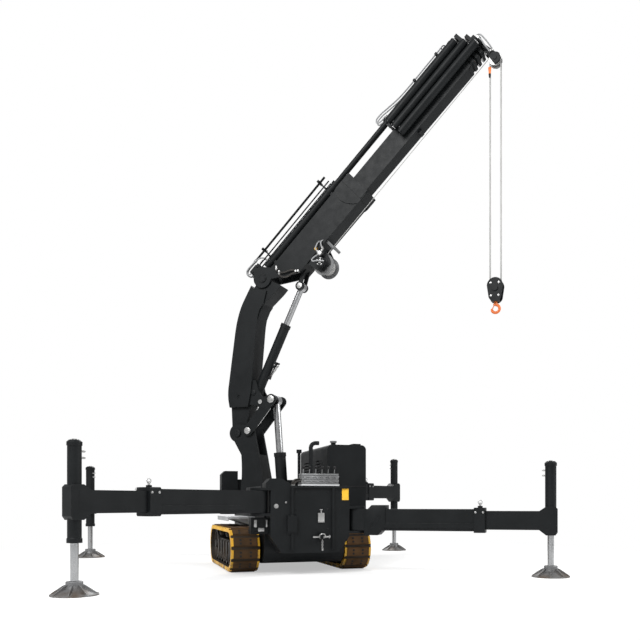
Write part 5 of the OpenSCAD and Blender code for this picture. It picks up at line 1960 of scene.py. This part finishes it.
@dataclass
class SectionHeads:
    """Gland nuts, ports, bolts, lines and hoses on the heads of the telescoping sections.

    Attributes:
        joints: The frame's joints.
        head_s: Place of the first section's head along the boom.
        pitch: Distance from one head to the next.
        head_t: Thickness of a head.
        ram_r: Radius of a section's cylinder.
        ram_tail: Distance of the cylinders' rear ends behind the first head.
        rod_r: Radius of a cylinder's rod.
        top_ram: Height of the first cylinder, on top of the boom.
        side_ram: Side offset and height of the second cylinder.
        ram_drop: How much lower each further cylinder lies.
        mid_t: Height of the sections' middle.
        half: Half the width and height of a head.
        hose_r: Radius of the lines and hoses.
        line_n: Distance of a top line from the boom's plane.
        tip_n: Side offset of the tip's fitting.
        tip_ports: Place past the last head and height of each port at the tip.
    """

    joints: Joints
    head_s: float = 4.4
    pitch: float = 0.085
    head_t: float = 0.05
    ram_r: float = 0.064
    ram_tail: float = 1.33
    rod_r: float = 0.030
    top_ram: float = 0.159
    side_ram: tuple[float, float] = (-0.201, 0.03)
    ram_drop: float = 0.138
    mid_t: float = -0.2345
    half: tuple[float, float] = (0.122, 0.16)
    hose_r: float = 0.0105
    line_n: float = 0.032
    tip_n: float = -0.241
    tip_ports: tuple[tuple[float, float], ...] = ((0.03, -0.455), (0.07, -0.47))

    def ram(self, k: int) -> tuple[float, float]:
        """Returns the side offset and height of the cylinder that a section carries.

        Args:
            k: Number of the section, from 1.

        Returns:
            The side offset and the height.
        """
        if k == 1:
            return 0.0, self.top_ram
        n, t = self.side_ram
        return n, t - self.ram_drop * (k - 2)

    def build(self) -> None:
        """Makes the fittings of each section."""
        boom = self.joints.boom()
        port_s = self.head_s - self.ram_tail + 0.06
        for k in range(1, 5):
            n, t = self.ram(k)
            top = t + self.ram_r
            s = self.head_s + (k - 1) * self.pitch + self.head_t
            nut = Bench(f"gland_{k}", boom)
            nut.rod((s - 0.002, n, t), (s + 0.016, n, t), self.rod_r + 0.018, sides=8, edge=0.002)
            nut.rod((port_s, n, top - 0.004), (port_s, n, top + 0.022), 0.015, sides=6)
            nut.rod((port_s, n, top + 0.02), (port_s, n, top + 0.034), 0.01, sides=16)
            for side in (-1, 1):
                for end in (-1, 1):
                    at = (s, side * (self.half[0] - 0.03), self.mid_t + end * (self.half[1] - 0.012))
                    nut.bolt(at, (1, 0, 0), 0.007, 0.006)
            nut.done(f"section_{k}", BARE_STEEL)
        self._top_lines(boom)
        self._tip_hoses(boom)

    def _top_lines(self, boom: Axes) -> None:
        """Makes the two lines on the top cylinder, which loop back at its rear end, and their clamps.

        Args:
            boom: Frame of the boom.
        """
        top = self.top_ram + self.ram_r
        head = self.head_s
        clamps = Bench("top_clamps", boom)
        for number, side in enumerate((-1, 1), 1):
            n = side * self.line_n
            route = [(head + 0.002, n, top + 0.018), (head - 0.3, n, top + 0.018),
                     (head - 0.78, n, top + 0.02), (head - 0.95, n, top + 0.03),
                     (head - 1.15, n, top + 0.066), (head - 1.33, n, top + 0.095),
                     (head - 1.41, n, top + 0.078), (head - 1.42, n, top + 0.04),
                     (head - 1.37, n, top + 0.014), (head - 1.27, n, top + 0.008)]
            line(f"top_line_{number}", boom, route, self.hose_r, "section_1", PALE_HOSE_AND_SHEEN)
        for s in (head - 0.12, head - 0.6):
            clamps.block((s - 0.02, -0.055, top - 0.01), (s + 0.02, 0.055, top + 0.034), 0.004)
            clamps.bolt((s, 0, top + 0.034), UPWARDS, 0.008, 0.007)
        clamps.done("section_1", BLACK_PAINT)

    def _tip_hoses(self, boom: Axes) -> None:
        """Makes the fitting and the pale hoses on the near side of the last head.

        Args:
            boom: Frame of the boom.
        """
        s = self.head_s + 4 * self.pitch
        n = self.tip_n
        fitting = Bench("tip_fitting", boom)
        fitting.block((s + 0.006, n - 0.03, -0.272), (s + 0.044, n + 0.002, -0.216), 0.004)
        fitting.rod((s + 0.044, n - 0.014, -0.232), (s + 0.058, n - 0.014, -0.232), 0.013, sides=6)
        for past, t in self.tip_ports:
            fitting.rod((s + past, -0.08, t), (s + past, -0.104, t), 0.02, sides=6)
        fitting.done("section_5", BARE_STEEL)
        routes = (
            [(s + 0.025, n - 0.016, -0.27), (s + 0.022, n - 0.016, -0.33), (s + 0.012, -0.21, -0.4),
             (s + 0.02, -0.14, -0.45), (s + 0.03, -0.1, -0.455)],
            [(s + 0.054, n - 0.014, -0.232), (s + 0.07, n - 0.012, -0.258), (s + 0.074, -0.225, -0.33),
             (s + 0.072, -0.165, -0.42), (s + 0.07, -0.1, -0.47)],
        )
        for number, route in enumerate(routes, 1):
            line(f"tip_hose_{number}", boom, route, self.hose_r, "section_5", PALE_HOSE_AND_SHEEN)


@dataclass
class Tackle:
    """The rope-end fitting on the falls and the bolts of the hook block.

    Attributes:
        joints: The frame's joints.
        fall_r: Distance of a fall from the sheaves' axis.
        sheave_n: Distance of a sheave from the boom's plane.
        socket: Depth of the socket's top under the sheaves' axis, and its length.
        cheek: Distance of the block's cheeks from the boom's plane.
        bolts: Places of a cheek's bolts from the block's middle, along the reach and up.
    """

    joints: Joints
    fall_r: float = FALL_R
    sheave_n: float = SHEAVE_N
    socket: tuple[float, float] = (0.112, 0.1)
    cheek: float = 0.082
    bolts: tuple[tuple[float, float], ...] = ((-0.06, 0.1), (0.06, 0.1), (-0.055, -0.09), (0.055, -0.09))

    def build(self) -> None:
        """Makes the socket at the top of the rope's dead end, its tip and the bolts of the block."""
        crane = self.joints.crane()
        tip = crane.matrix().inverted() @ self.joints.place("sheave_turn")
        block_low, block_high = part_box("hook_block")
        block_z = ((block_low + block_high) / 2).z
        x, n = tip.x - self.fall_r, -self.sheave_n
        top = tip.z - self.socket[0]
        low = top - self.socket[1]
        socket = Bench("rope_socket", crane)
        socket.rod((x, n, low), (x, n, top), 0.017, 0.024, edge=0.004)
        socket.done("falls", HOOK_ORANGE)
        shoe = Bench("rope_socket_tip", crane)
        shoe.rod((x, n, low - 0.055), (x, n, low + 0.004), 0.011, 0.0195, edge=0.003)
        shoe.done("falls", RUBBER)
        bolts = Bench("block_bolts", crane)
        for side in (-1, 1):
            for r, z in self.bolts:
                bolts.bolt((tip.x + r, side * self.cheek, block_z + z), (0, side, 0), 0.011)
        bolts.done("hook_block", BARE_STEEL)


@dataclass
class Ropes:
    """The hoist rope, in runs along the boom's sections, and the falls; neither rides on a body.

    Attributes:
        joints: The frame's joints.
        rope_r: Radius of the rope.
        sheave_n: Distance of a sheave from the boom's plane.
        fall_r: Distance of a fall from the sheaves' axis.
        wound_r: Radius at which the rope leaves the drum.
        cuts: Shares of the hoist rope's length at which one run ends and the next starts.
    """

    joints: Joints
    rope_r: float = ROPE_R
    sheave_n: float = SHEAVE_N
    fall_r: float = FALL_R
    wound_r: float = 0.1113
    cuts: tuple[float, ...] = (0.0, 0.5, 0.625, 0.75, 0.875, 1.0)

    def build(self) -> None:
        """Makes one run of the hoist rope for each telescope joint, and the falls."""
        boom = self.joints.boom()
        back = boom.matrix().inverted()
        drum, tip = back @ self.joints.place("winch_turn"), back @ self.joints.place("sheave_turn")
        start = Vector((drum.x, -self.sheave_n, drum.z + self.wound_r))
        end = Vector((tip.x, -self.sheave_n, tip.z + self.fall_r))
        bodies = ["outer_boom"] + [f"section_{k}" for k in range(1, 6)]
        for k in range(5):
            a, b = start.lerp(end, self.cuts[k]), start.lerp(end, self.cuts[k + 1])
            run = Bench(f"hoist_run_{k + 1}", boom).rod(a, b, self.rope_r, sides=12)
            piece = run.spanning((bodies[k], bodies[k + 1]), a, b, WIRE_ROPE)
            if k == 0:
                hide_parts("hoist_rope")
        self._falls()

    def _falls(self) -> None:
        """Makes the four falls between the tip sheaves and the hook block."""
        crane = self.joints.crane()
        tip = crane.matrix().inverted() @ self.joints.place("sheave_turn")
        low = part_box("rope_falls")[0].z
        falls = Bench("hoist_falls", crane)
        for side in (-1, 1):
            for end in (-1, 1):
                x, n = tip.x + end * self.fall_r, side * self.sheave_n
                falls.rod((x, n, tip.z), (x, n, low), self.rope_r, sides=12)
        piece = falls.spanning(("falls", "hook_block"), (tip.x, 0, tip.z), (tip.x, 0, low), WIRE_ROPE)
        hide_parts("rope_falls")


NODE_FINISH: dict[str, Finish] = {"valve_bank": VALVE_ALLOY} | {
    f"foot_{corner}": FOOT_ZINC for corner in CORNERS
}
STRIP_H = 0.025
LID_H = 0.028


def dress_nodes(frame: dict) -> None:
    """Gives every CAD node its own finish or that of its material slot, and two of them a second one.
    """
    for part in frame["record"]["subparts"]:
        node = frame["nodes"][part["node"]]
        finish = NODE_FINISH.get(part["node"], SLOT_FINISH[part["material_slot"]])
        node.data.materials.clear()
        node.data.materials.append(finish.material())
        LOG.info("node %s, %s", part["node"], finish.name)
    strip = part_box("valve_bank")[0].z + STRIP_H
    repaint(frame["nodes"]["valve_bank"], BRIGHT_STRIP, lambda at: at.z < strip)
    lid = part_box("engine_hood")[1].z - LID_H
    repaint(frame["nodes"]["engine_hood"], CAST_GREY, lambda at: at.z > lid)


def main() -> None:
    """Builds the scene in order."""
    logging.basicConfig(level=logging.INFO, format="%(name)s: %(message)s")
    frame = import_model()
    joints = Joints(frame["joints"])
    Studio().build()
    dress_nodes(frame)
    for side in ("left", "right"):
        track = Track("track_" + side)
        track.dress(frame["nodes"]["track_" + side])
        track.build()
    FrontFace().build()
    HoodTrim().build()
    for corner in CORNERS:
        Outrigger(corner, joints).build()
    Linkage(joints).build(frame["nodes"]["inner_boom"])
    BoomLines(joints).build()
    Winch(joints).build()
    SectionHeads(joints).build()
    Tackle(joints).build()
    Ropes(joints).build()


if __name__ == "__main__":
    main()
